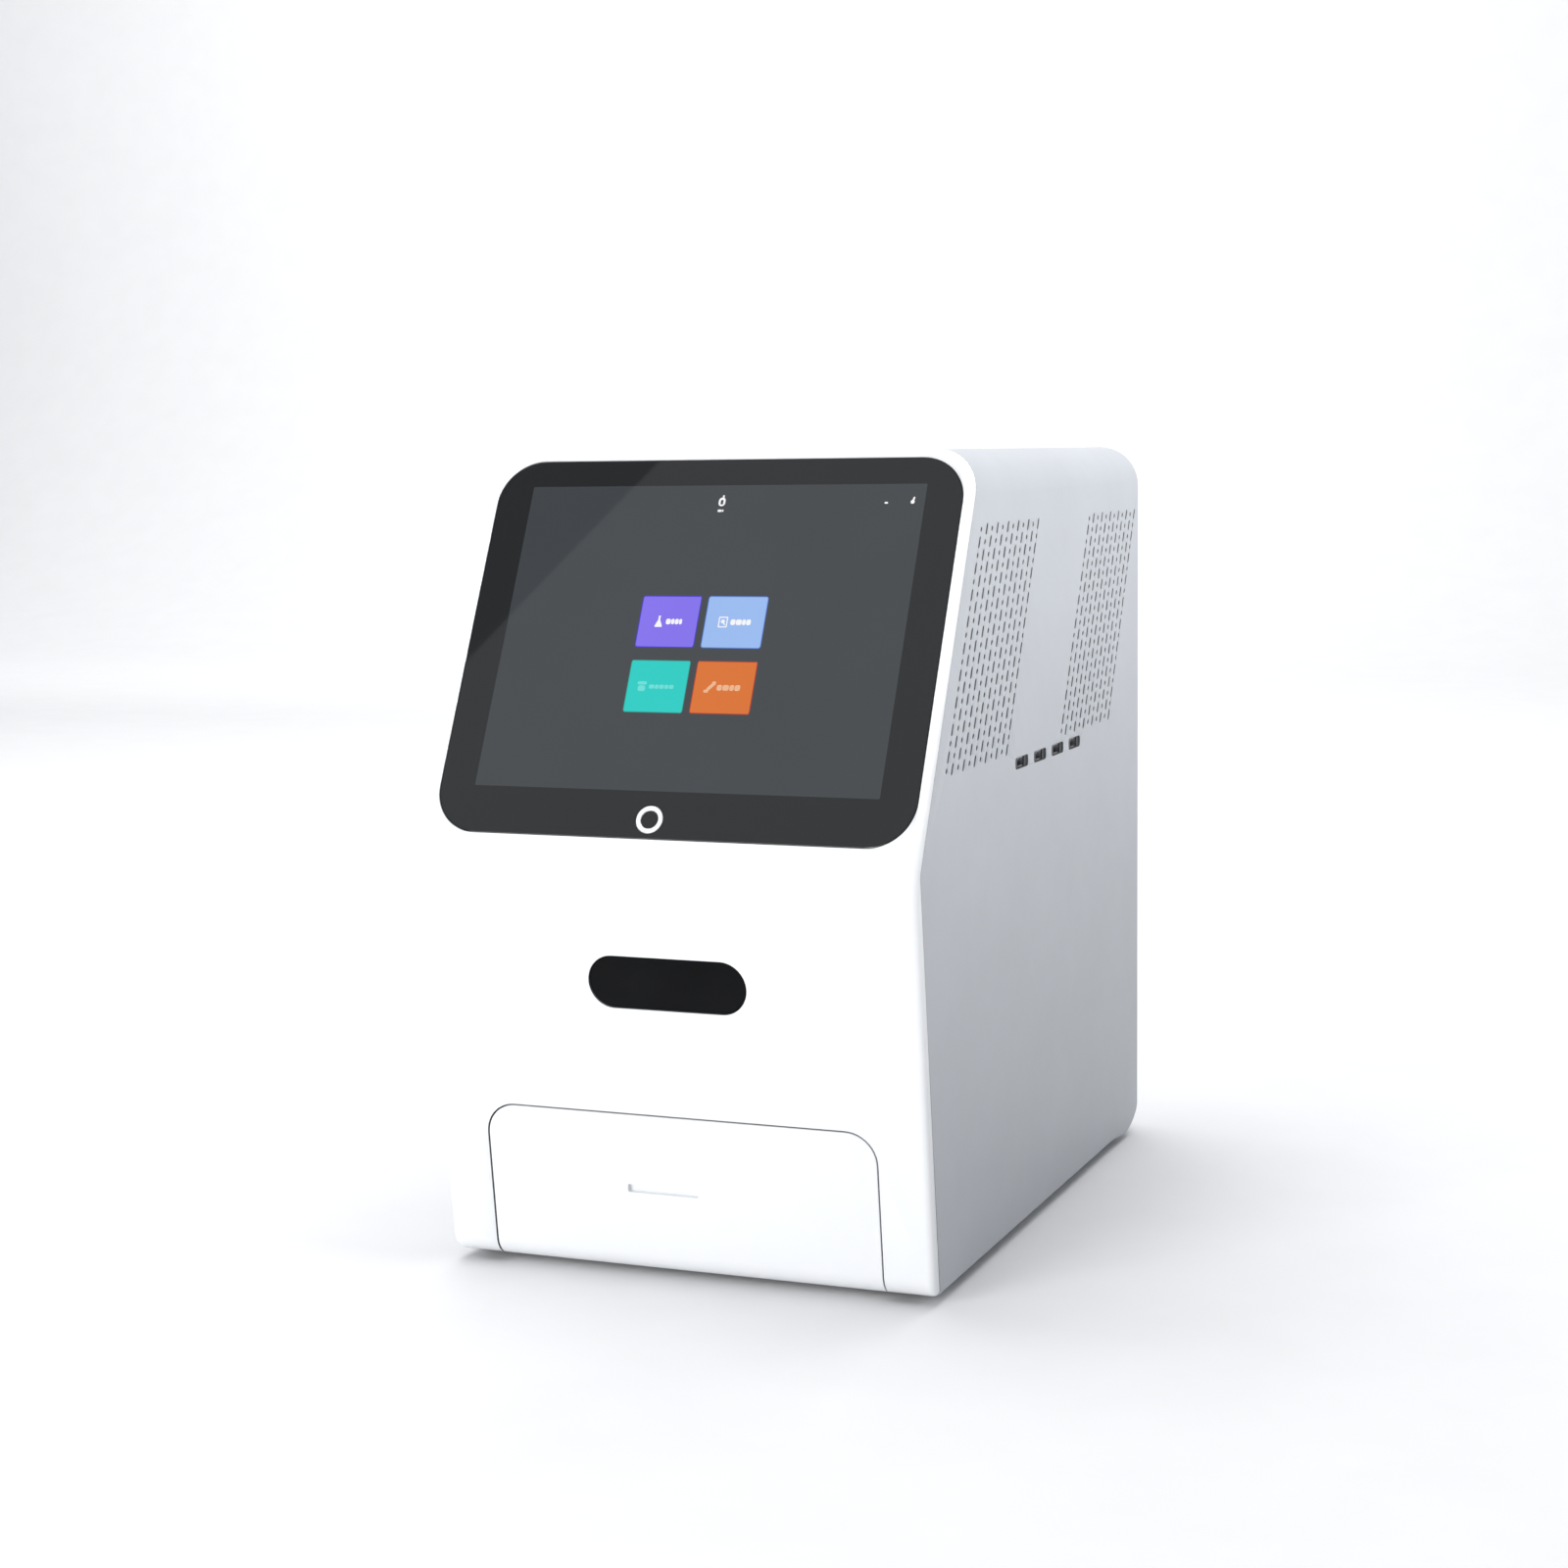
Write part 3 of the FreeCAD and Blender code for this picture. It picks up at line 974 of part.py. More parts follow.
def make_drawer():
    # tray: folded sheet box behind the drawer front, its front edge sloped like it
    def outline(inset, floor, top):
        return [(lower_line(floor) + f" + drawer_front_depth + {inset}", floor),
                (lower_line(top) + f" + drawer_front_depth + {inset}", top),
                (f"tray_rear - {inset}", top), (f"tray_rear - {inset}", floor)]
    outer = pad("tray_outer", "YZ_Plane", outline("0", "tray_low", "tray_high"), "2 * tray_x",
                centred=True)
    inner = pad("tray_inner", "YZ_Plane", outline("tray_sheet", "tray_low + tray_sheet",
                                                  "tray_high + 10"),
                "2 * (tray_x - tray_sheet)", centred=True)
    keep(cut("tray", outer, inner), "drawer_tray")

    width = "2 * (tray_x - tray_sheet)"
    front = lower_line("stage_low") + " + drawer_front_depth + tray_sheet + 1"
    plate = box("stage_plate", "-(tray_x - tray_sheet)", front, "stage_low", width,
                f"tray_rear - tray_sheet - ({front})", "stage_thick")
    seat = mid_box("stage_seat", "0", "stage_y", "stage_z - filter_thick",
                   "stage_size + 2 * glass_gap", "stage_size + 2 * glass_gap", "20")
    way = mid_box("stage_way", "0", "stage_y", "stage_low - 5",
                  "stage_size - 2 * stage_ledge", "stage_size - 2 * stage_ledge", "30")
    keep(cut("stage", plate, seat, way), "stage_frame")
    keep(mid_box("filter", "0", "stage_y", "stage_z - filter_thick", "stage_size",
                 "stage_size", "filter_thick"), "uv_filter_plate")

    # lamps along the drawer, with a holder block at each end and a folded reflector below
    floor = "tray_low + tray_sheet"
    lamp_z = "floor_z + lamp_level"
    row = "(lamp_count - 1) * lamp_pitch"
    tubes = [rod(f"tube_{i}", f"-{row} / 2 + {i} * lamp_pitch", "stage_y - lamp_length / 2",
                 lamp_z, "lamp_radius", "lamp_length", axis="y")
             for i in range(SIZES["lamp_count"])]
    keep(group("tubes", *tubes), "uv_tubes")
    holders = []
    for tag, y in (("front", "stage_y - lamp_length / 2 - holder_thick"),
                   ("rear", "stage_y + lamp_length / 2")):
        bar = box(f"holder_bar_{tag}", f"-{row} / 2 - 12", y, floor, f"{row} + 24",
                  "holder_thick", f"{lamp_z} - ({floor}) + holder_height / 2")
        notches = [box(f"holder_notch_{tag}_{i}", f"-{row} / 2 + {i} * lamp_pitch + 9",
                       "-case_depth", f"{lamp_z} - 6", "lamp_pitch - 18", "2 * case_depth", "60")
                   for i in range(SIZES["lamp_count"] - 1)]
        holders.append(cut(f"holder_{tag}", bar, *notches))
    keep(group("holders", *holders), "lamp_holders")
    under, over = [], []
    for i in range(2 * SIZES["lamp_count"] + 1):
        x = f"-{row} / 2 - lamp_pitch / 2 + {i} * lamp_pitch / 2"
        rise = "reflector_rise" if i % 2 == 0 else "0"
        under.append((x, f"floor_z + reflector_level + {rise}"))
        over.append((x, f"floor_z + reflector_level + {rise} + reflector_sheet * 1.3"))
    sheet = pad("reflector_sheet", "XZ_Plane", under + over[::-1], "lamp_length - 2",
                level="-stage_y", centred=True)
    feet = [mid_box(f"reflector_foot_{i}", f"{side} * lamp_pitch * 1.5", "stage_y", floor,
                    "6", "60", f"floor_z + reflector_level + reflector_sheet - ({floor})")
            for i, side in enumerate(("-1", "1"))]
    keep(join("reflector", sheet, *feet), "lamp_reflector")

    # ballast board across the rear of the drawer
    board_y = "tray_rear - tray_sheet - 6"
    board = box("ballast_plate", "-80", board_y, "tray_low + 8", "160", "board_sheet", "38")
    posts = [rod(f"ballast_post_{i}", x, f"{board_y} + board_sheet", "tray_low + 27", "3",
                 "6 - board_sheet", axis="y") for i, x in enumerate(("-72", "72"))]
    chokes = [box(f"ballast_choke_{i}", f"-66 + {i} * 38", f"{board_y} - 10", "tray_low + 14",
                  "22", "10", "24") for i in range(4)]
    keep(join("ballast", board, *posts, *chokes), "ballast_board")

    # magnetic catch behind the tray
    keep(mid_box("strike", "0", "tray_rear + 0.5", "tray_low + 20", "24", "1", "20"),
         "strike_plate")
    stand = mid_box("catch_stand", "0", "tray_rear + 8", "pan_top", "30", "12",
                    "tray_low + 46 - pan_top")
    keep(cut("catch_block", stand, mid_box("catch_notch", "0", "tray_rear + 1.3",
                                           "tray_low + 16", "26", "10", "28")), "catch_block")
    keep(mid_box("magnet", "0", "tray_rear + 1.3 + 2.5", "tray_low + 20", "22", "5", "20"),
         "catch_magnet")


def check_and_save():
    """Stop on any failed object or shape, then save each sub-part."""
    doc.recompute()
    failed = [o.Label for o in doc.Objects if "Invalid" in o.State or "Error" in o.State]
    if failed:
        raise RuntimeError("failed: " + ", ".join(failed))
    for part in sub_parts:
        shape = part.Shape
        if shape.isNull() or not shape.isValid() or not shape.Solids:
            raise RuntimeError("bad shape: " + part.Label)
    os.makedirs("parts", exist_ok=True)
    for part in sub_parts:
        part.Shape.exportStep(os.path.join("parts", part.Label + ".step"))
    print(len(sub_parts), "sub-parts saved")


make_cabinet()
make_display()
make_window()
make_frame()
make_chamber()
make_camera()
make_rear()
make_sockets()
make_electronics()
make_slides()
make_drawer()
check_and_save()
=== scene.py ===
import math
from collections import namedtuple

import bmesh
import bpy
import numpy as np
from bpy.props import FloatProperty, FloatVectorProperty, IntProperty, PointerProperty
from mathutils import Matrix, Vector
from mathutils.geometry import delaunay_2d_cdt


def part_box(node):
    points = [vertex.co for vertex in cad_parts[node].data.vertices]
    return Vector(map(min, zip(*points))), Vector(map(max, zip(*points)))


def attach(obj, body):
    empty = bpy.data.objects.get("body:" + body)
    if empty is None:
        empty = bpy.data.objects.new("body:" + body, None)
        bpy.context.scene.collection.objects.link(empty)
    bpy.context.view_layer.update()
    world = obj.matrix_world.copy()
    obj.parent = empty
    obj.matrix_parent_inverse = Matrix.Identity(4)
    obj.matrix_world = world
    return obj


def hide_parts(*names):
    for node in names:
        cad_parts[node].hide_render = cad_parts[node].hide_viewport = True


bl_info = {
    "name": "Gel documentation system",
    "version": (1, 0, 0),
    "blender": (4, 5, 0),
    "location": "View3D > Sidebar > Gel imager",
    "description": "Dresses the packed frame of a bench gel imager: shells, display, window and finishes",
    "category": "Object",
}

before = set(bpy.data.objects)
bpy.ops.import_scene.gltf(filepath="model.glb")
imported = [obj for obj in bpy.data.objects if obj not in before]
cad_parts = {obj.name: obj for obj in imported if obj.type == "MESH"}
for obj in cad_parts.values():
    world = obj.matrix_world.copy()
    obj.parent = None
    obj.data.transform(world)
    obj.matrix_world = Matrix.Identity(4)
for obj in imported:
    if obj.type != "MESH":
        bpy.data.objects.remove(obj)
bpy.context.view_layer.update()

# Helpers for properties

def length(name, description, metres):
    return FloatProperty(name=name, description=description, default=metres, unit="LENGTH", precision=4)


def angle(name, description, degrees):
    return FloatProperty(name=name, description=description, default=math.radians(degrees), unit="ROTATION")


def colour(name, description, red, green, blue):
    return FloatVectorProperty(name=name, description=description, subtype="COLOR", size=3,
                               min=0.0, max=1.0, default=(red, green, blue))


class CabinetSizes(bpy.types.PropertyGroup):
    """The cabinet's rounded outer form."""
    nose_height: length("Nose height", "Height of the bend in the front above the floor pan", 0.240)
    screen_tilt: angle("Screen tilt", "Lean of the display plane back from upright", 26.5)
    panel_tilt: angle("Panel tilt", "Lean of the lower front back from upright, going down", 6.6)
    nose_radius: length("Nose radius", "Rounding of the bend", 0.050)
    toe_radius: length("Toe radius", "Rounding of the lower front edge", 0.013)
    shoulder_radius: length("Shoulder radius", "Rounding of the two long top edges", 0.026)
    rear_radius: length("Rear radius", "Rounding round the rear face", 0.020)
    heel_radius: length("Heel radius", "Rounding of the lower rear corner", 0.050)
    rim_radius: length("Rim radius", "Rounding round the front face", 0.0045)
    fascia_depth: length("Fascia depth", "How far the moulded front reaches back along the sides", 0.007)
    fascia_wall: length("Fascia wall", "Thickness of the moulded front", 0.004)
    seam: length("Seam", "Gap between the moulded front and the cover", 0.0003)
    cover_wall: length("Cover wall", "Thickness of the cover sheet", 0.0025)
    flange: length("Flange", "Width of the cover's turned-in lower edge", 0.014)
    edge_runout: length("Edge runout", "Length over which the lower edge's rounding runs out", 0.030)
    rear_lap: length("Rear lap", "Level strip in front of the lower rear corner", 0.004)
    rear_low: length("Rear opening low", "Lower edge of the rear opening above the floor pan", 0.052)
    rear_high: length("Rear opening high", "Upper edge of the rear opening above the floor pan", 0.436)
    rear_width: length("Rear opening width", "Width of the rear opening", 0.230)


class VentSizes(bpy.types.PropertyGroup):
    """The leaning fields of vents in both sides."""
    columns: IntProperty(name="Columns", description="Cells along a row of one field", default=12)
    rows: IntProperty(name="Rows", description="Rows of one field", default=19)
    pitch: length("Pitch", "Distance between cells along a row", 0.0101)
    row_pitch: length("Row pitch", "Distance between rows", 0.0072)
    width: length("Vent width", "Width of a slot and of a dot", 0.0026)
    slot: length("Slot length", "Length of a slot", 0.0068)
    dot: length("Dot length", "Length of a dot", 0.0031)
    top: length("Top row", "Height of the top row above the floor pan", 0.421)
    front: length("Front field", "First column of the front field behind the nose line", 0.1167)
    rear: length("Rear field", "First column of the rear field behind the nose line", 0.3415)


class SocketSizes(bpy.types.PropertyGroup):
    """The row of data sockets in the right side."""
    count: IntProperty(name="Sockets", description="Sockets in the row", default=4)
    pitch: length("Socket pitch", "Distance between sockets", 0.0377)
    first: length("First socket", "Middle of the first socket behind the nose line", 0.1928)
    level: length("Socket level", "Height of the row above the floor pan", 0.2813)
    width: length("Port width", "Width of a port", 0.0257)
    height: length("Port height", "Height of a port", 0.0070)
    corner: length("Port corner", "Corner radius of a port", 0.0022)


class DisplaySizes(bpy.types.PropertyGroup):
    """The touch glass, the lit image behind it and the ring button."""
    glass_width: length("Glass width", "Width of the touch glass", 0.290)
    glass_length: length("Glass length", "Length of the touch glass up the slope", 0.232)
    glass_start: length("Glass start", "Lower edge of the glass above the nose line", 0.0155)
    glass_thick: length("Glass thickness", "Thickness of the glass", 0.0025)
    glass_corner: length("Glass corner", "Corner radius of the glass", 0.027)
    gap: length("Gap", "Gap round the glass, the button and the window", 0.0003)
    image_width: length("Image width", "Width of the lit image", 0.246)
    image_length: length("Image length", "Length of the lit image up the slope", 0.1877)
    image_centre: length("Image centre", "Middle of the lit image above the nose line", 0.13745)
    tile_width: length("Tile width", "Width of a menu tile", 0.0367)
    tile_length: length("Tile length", "Length of a menu tile up the slope", 0.0318)
    tile_edge: length("Tile edge", "Width of the deeper coloured line round a tile", 0.0005)
    tile_across: length("Tile place across", "Distance of a tile's middle from the centre line", 0.02045)
    upper_tiles: length("Upper tiles", "Middle of the upper tiles above the nose line", 0.1460)
    lower_tiles: length("Lower tiles", "Middle of the lower tiles above the nose line", 0.1063)
    button_offset: length("Button offset", "Place of the ring button across", -0.0105)
    button_rise: length("Button rise", "Place of the ring button above the nose line", 0.027)
    button_radius: length("Button radius", "Outer radius of the ring", 0.0082)
    ring_radius: length("Ring radius", "Inner radius of the ring", 0.0052)
    ledge_wall: length("Ledge thickness", "Thickness of the ledge that carries the glass", 0.0015)
    ledge_lap: length("Ledge lap", "How far the ledge reaches under the front round the glass", 0.0002)
    ledge_side: length("Ledge side", "Distance from the image to the ledge at the sides", 0.008)
    ledge_end: length("Ledge end", "Distance from the image to the ledge at its ends", 0.005)
    ledge_corner: length("Ledge corner", "Corner radius of the ledge's opening", 0.002)


class FrontSizes(bpy.types.PropertyGroup):
    """The window and the drawer in the lower front."""
    window_width: length("Window width", "Width of the viewing window", 0.0963)
    window_height: length("Window height", "Height of the viewing window", 0.0307)
    window_level: length("Window level", "Middle of the window above the floor pan", 0.172)
    window_recess: length("Window recess", "Depth of the pane behind the front", 0.001)
    drawer_width: length("Drawer width", "Width of the drawer front", 0.239)
    drawer_top: length("Drawer top", "Top of the drawer front above the floor pan", 0.0942)
    drawer_corner: length("Drawer corner", "Radius of the drawer front's top corners", 0.018)
    drawer_gap: length("Drawer gap", "Gap round the drawer front", 0.0008)
    drawer_depth: length("Drawer front depth", "Depth of the drawer front", 0.016)
    edge: length("Edge", "Rounding of the drawer front's edge", 0.0008)
    groove_width: length("Groove width", "Width of the finger groove", 0.044)
    groove_height: length("Groove height", "Height of the finger groove", 0.0048)
    groove_level: length("Groove level", "Middle of the groove above the floor pan", 0.050)
    groove_offset: length("Groove offset", "Place of the groove across", -0.011)
    groove_depth: length("Groove depth", "Depth of the groove", 0.003)


class Colours(bpy.types.PropertyGroup):
    """Main colours of the part."""
    shell: colour("Shell", "Satin white of the moulded front", 0.86, 0.87, 0.885)
    # The cover's grey is partly its own paint and partly painted shade, darker than the front so that the
    # sides read as shaded
    cover: colour("Cover", "Light grey powder coat of the cover", 0.45, 0.47, 0.50)
    bezel: colour("Glass border", "Black print behind the touch glass", 0.006, 0.007, 0.008)
    image: colour("Image", "Grey ground of the lit image", 0.037, 0.043, 0.049)
    purple: colour("Purple tile", "First menu tile", 0.215, 0.149, 0.836)
    blue: colour("Blue tile", "Second menu tile", 0.312, 0.492, 0.878)
    teal: colour("Teal tile", "Third menu tile", 0.000, 0.600, 0.540)
    orange: colour("Orange tile", "Fourth menu tile", 0.703, 0.156, 0.010)


class StageSizes(bpy.types.PropertyGroup):
    """Camera, light and floor."""
    yaw: angle("Camera yaw", "Turn of the camera to the left of the object's depth axis", 21.8813)
    pitch: angle("Camera pitch", "How far the camera looks down", 6.8265)
    roll: angle("Camera roll", "Roll of the camera", -0.7882)
    lens: FloatProperty(name="Lens", description="Focal length in millimetres", default=63.75)
    place: FloatVectorProperty(name="Camera place", description="Where the camera stands", size=3,
                               subtype="TRANSLATION", unit="LENGTH", precision=5,
                               default=(0.62877, -1.61955, 0.4709))
    floor_side: length("Floor side", "How far the floor reaches to each side", 8.0)
    floor_front: length("Floor front", "How far the floor reaches in front of the object", 6.0)
    floor_back: length("Floor back", "Where the floor begins to bend up behind the object", 4.0)
    bend: length("Bend", "Radius of the bend between the floor and the wall", 1.5)
    wall: length("Wall", "Height of the wall", 6.0)


GROUPS = {"gel_cabinet": CabinetSizes, "gel_vents": VentSizes, "gel_sockets": SocketSizes,
          "gel_display": DisplaySizes, "gel_front": FrontSizes, "gel_colours": Colours,
          "gel_stage": StageSizes}

# Surfaces as arrays


def sheet(points, wrap=False):
    """A surface through a grid of points (rows, columns, xyz); wrap joins the last column to the first."""
    rows, columns = points.shape[:2]
    steps = np.arange(columns if wrap else columns - 1)
    row, column = np.meshgrid(np.arange(rows - 1), steps, indexing="ij")
    after = (column + 1) % columns
    corners = [row * columns + column, row * columns + after,
               (row + 1) * columns + after, (row + 1) * columns + column]
    return points.reshape(-1, 3), np.stack(corners, -1).reshape(-1, 4)


def span(ends, y, z):
    """The surface swept by a path in y and z from one x to another."""
    return sheet(np.stack([np.stack([np.full_like(y, x), y, z], -1) for x in ends], 1))


def fill(outline, holes, place):
    """The flat region between an outline and convex holes.

    The loops are the edges of a constrained Delaunay triangulation; a triangle whose corners
    all lie on one hole's loop covers that hole and is left out. place turns the flat points
    into space."""
    loops = [np.asarray(outline)] + [np.asarray(hole) for hole in holes]
    flat = np.concatenate(loops)
    label = np.repeat(np.arange(len(loops)), [len(loop) for loop in loops])
    first = np.concatenate([[0], np.cumsum([len(loop) for loop in loops])])[label]
    step = np.arange(len(flat)) - first
    count = np.array([len(loop) for loop in loops])[label]
    edges = np.stack([np.arange(len(flat)), first + (step + 1) % count], -1)
    made = delaunay_2d_cdt(flat.tolist(), edges.tolist(), [], 1, 1e-7)
    source = np.array([same[0] for same in made[3]])
    faces = source[np.array(made[2])]
    covered = (label[faces] == label[faces[:, :1]]).all(1) & (label[faces[:, 0]] > 0)
    return place(flat), faces[~covered]


# A corner radius stays under half the shorter side, so that the quarter circles never meet
LARGEST_CORNER = 0.4995


def rounded(x, y, width, height, corner, steps=9):
    """Outline of a rectangle with round corners: quarter circles, centred a corner radius inside."""
    corner = min(corner, LARGEST_CORNER * min(width, height))
    turn = np.linspace(0, math.pi / 2, steps)[None] + np.arange(4)[:, None] * math.pi / 2
    across = x + (width / 2 - corner) * np.array([1, -1, -1, 1])[:, None] + corner * np.cos(turn)
    up = y + (height / 2 - corner) * np.array([1, 1, -1, -1])[:, None] + corner * np.sin(turn)
    return np.stack([across, up], -1).reshape(-1, 2)


def circle(x, y, radius, steps=64):
    turn = np.linspace(0, 2 * math.pi, steps, endpoint=False)
    return np.stack([x + radius * np.cos(turn), y + radius * np.sin(turn)], -1)


def rings(place, outline, profile):
    """A closed solid of rings: the outline at each offset of the profile, at its level; flat ends."""
    loops = np.stack([place(outline(offset), level) for offset, level in profile])
    count = loops.shape[1]
    points, faces = sheet(loops, wrap=True)
    ends = [list(range(count))[::-1], list(range(len(points) - count, len(points)))]
    return points, faces.tolist() + ends


def on_plane(tilt, origin):
    """Places flat points (x, up the plane) at a height above a plane through origin, leaning back by tilt."""
    up = np.array([0, math.sin(tilt), math.cos(tilt)])
    out = np.array([0, -math.cos(tilt), math.sin(tilt)])
    side = np.array([1.0, 0, 0])

    def place(flat, height=0.0):
        flat = np.asarray(flat, float)
        return np.asarray(origin) + flat[:, :1] * side + flat[:, 1:] * up + height * out
    return place


class Form:
    """The cabinet's rounded form.

    The front is two planes through the nose line, joined by an arc whose centre lies on their
    bisector, with a second arc at the toe. Moved inwards by an inset, the planes shift and each
    arc keeps its centre and loses the inset from its radius."""

    def __init__(self):
        s = bpy.context.scene.gel_cabinet
        low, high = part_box("outer_cover")
        self.half, self.floor, self.top, self.rear = high.x, low.z, high.z, high.y
        self.tilt, self.lean = s.screen_tilt, s.panel_tilt
        self.nose_z = self.floor + s.nose_height
        # the rounded nose just reaches the box, so the sharp nose line lies in front of it
        past_arc = math.cos((self.tilt - self.lean) / 2) / math.cos((self.tilt + self.lean) / 2) - 1
        self.nose_y = -self.rear - s.nose_radius * past_arc
        self.nose_radius, self.toe_radius = s.nose_radius, s.toe_radius
        self.shoulder = s.shoulder_radius
        nose = np.array([self.nose_y, self.nose_z])
        self.nose_centre = self.arc_centre(nose, -self.lean, self.tilt, s.nose_radius)
        self.toe_y = self.nose_y + s.nose_height * math.tan(self.lean)
        toe = np.array([self.toe_y, self.floor])
        self.toe_centre = self.arc_centre(toe, -math.pi / 2, -self.lean, s.toe_radius)
        origin = (0, self.nose_y, self.nose_z)
        seam_depth = s.fascia_depth * math.cos(self.lean) / s.toe_radius
        self.seam_angle = -self.lean - math.acos(1 - seam_depth)
        self.heel = s.heel_radius
        self.screen = on_plane(self.tilt, origin)
        self.panel = on_plane(-self.lean, origin)

    @staticmethod
    def arc_centre(corner, low_angle, high_angle, radius):
        """Centre of an arc that touches two lines through a corner, given their normals' elevations."""
        normals = np.array([[-math.cos(a), math.sin(a)] for a in (low_angle, high_angle)])
        return corner - radius * normals.sum(0) / (1 + normals[0] @ normals[1])

    def sharp(self, z):
        """Y of the two front planes at height z, with a sharp nose."""
        below = self.nose_y + (self.nose_z - z) * math.tan(self.lean)
        above = self.nose_y + (z - self.nose_z) * math.tan(self.tilt)
        return np.maximum(below, above)

    def toe_arc(self, inset, start=-math.pi / 2, steps=10):
        """Elevations of the normals along the toe arc, with the arc's y and z."""
        turn = np.linspace(start, -self.lean, steps)
        radius = self.toe_radius - inset
        return turn, self.toe_centre[0] - radius * np.cos(turn), self.toe_centre[1] + radius * np.sin(turn)

    def nose_arc(self, inset, steps=17):
        turn = np.linspace(-self.lean, self.tilt, steps)
        radius = self.nose_radius - inset
        return turn, self.nose_centre[0] - radius * np.cos(turn), self.nose_centre[1] + radius * np.sin(turn)

    def upper_y(self, z, inset):
        return self.nose_y + (z - self.nose_z) * math.tan(self.tilt) + inset / math.cos(self.tilt)

    def plane_xz(self, flat):
        """Points given as x and z on the lower front plane."""
        flat = np.asarray(flat, float)
        y = self.nose_y + (self.nose_z - flat[:, 1]) * math.tan(self.lean)
        return np.stack([flat[:, 0], y, flat[:, 1]], -1)

    def heel_z(self, y):
        """Height of the lower rear arc: z = floor + H - sqrt(H^2 - (y - (rear - H))^2)."""
        across = np.clip((y - self.rear) / self.heel + 1, 0, 1)
        return self.floor + self.heel * (1 - np.sqrt(1 - across ** 2))

    def section(self, inset, low, steps=12):
        """Closed outline of the cabinet seen from the rear, as x and z: square below, shoulders above."""
        turn = np.linspace(0, math.pi / 2, steps)
        radius = self.shoulder - inset
        across = self.half - self.shoulder + radius * np.cos(turn)
        up = self.top - self.shoulder + radius * np.sin(turn)
        right = np.stack([across, up], -1)
        left = right[::-1] * [-1, 1]
        below = np.array([[-(self.half - inset), low], [self.half - inset, low]])
        return np.concatenate([below, right, left])


def turn_between(first, second, steps):
    """Unit vectors turned evenly from one unit vector to another: (sin((1-s)w) a + sin(s w) b) / sin w."""
    share = np.linspace(0, 1, steps)[None, :, None]
    between = np.arccos(np.clip((first * second).sum(-1), -1, 1))[:, None, None]
    start, end = np.sin((1 - share) * between), np.sin(share * between)
    return (start * first[:, None] + end * second[:, None]) / np.sin(between)


def rim(form, x, y, z, elevation, side, radius, steps):
    """A rounding carried along a path: centre points, with the front normal turned to the side normal."""
    centre = np.stack([x, y, z], -1)
    front = np.stack([np.zeros_like(elevation), -np.cos(elevation), np.sin(elevation)], -1)
    radius = np.broadcast_to(radius, y.shape)[:, None, None]
    return centre[:, None] + radius * turn_between(front, side, steps)


def both_sides(grid):
    """A grid on the right half joined to its mirror image, from the right end to the left end."""
    return np.concatenate([grid, grid[::-1] * [-1, 1, 1]])

# Making pieces

# Points closer than this are welded; edges that turn by more than this stay sharp
WELD = 2e-6
SHARP = math.radians(32)


def finish_mesh(name, parts, solid):
    """One mesh from several patches: welded, with its faces turned outwards.

    An open surface is turned so that its faces look away from its middle, weighed by area."""
    offset, points, faces = 0, [], []
    for part_points, part_faces in parts:
        points.append(part_points)
        loops = part_faces.tolist() if isinstance(part_faces, np.ndarray) else part_faces
        faces += [[index + offset for index in loop] for loop in loops]
        offset += len(part_points)
    mesh = bpy.data.meshes.new(name)
    mesh.from_pydata(np.concatenate(points).tolist(), [], faces)
    work = bmesh.new()
    work.from_mesh(mesh)
    bmesh.ops.remove_doubles(work, verts=work.verts, dist=WELD)
    bmesh.ops.dissolve_degenerate(work, edges=work.edges, dist=WELD / 2)
    bmesh.ops.recalc_face_normals(work, faces=work.faces)
    if not solid:
        middle = sum((f.calc_center_median() * f.calc_area() for f in work.faces), Vector())
        middle /= sum(f.calc_area() for f in work.faces)
        lean = sum((f.calc_center_median() - middle).dot(f.normal) * f.calc_area() for f in work.faces)
        if lean < 0:
            bmesh.ops.reverse_faces(work, faces=work.faces)
    work.to_mesh(mesh)
    work.free()
    return mesh


def add_piece(name, parts, body, material, replaced=(), wall=0.0, solid=True):
    """Add a piece at the origin, give it its wall and shading, and let it ride on its body.

    A list of materials stands for the outer face, the inner face and the cut edge of a wall."""
    mesh = finish_mesh(name, parts, solid)
    mesh.shade_smooth()
    mesh.set_sharp_from_angle(angle=SHARP)
    piece = bpy.data.objects.new(name, mesh)
    bpy.context.scene.collection.objects.link(piece)
    materials = material if isinstance(material, list) else [material]
    for one in materials:
        mesh.materials.append(one)
    if wall:
        thicken = piece.modifiers.new("wall", "SOLIDIFY")
        thicken.thickness, thicken.offset, thicken.use_even_offset = wall, -1.0, True
        thicken.material_offset, thicken.material_offset_rim = len(materials) // 2, len(materials) - 1
    shade = piece.modifiers.new("shade", "WEIGHTED_NORMAL")
    shade.keep_sharp, shade.weight = True, 80
    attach(piece, body)
    if replaced:
        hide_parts(*replaced)

# Materials


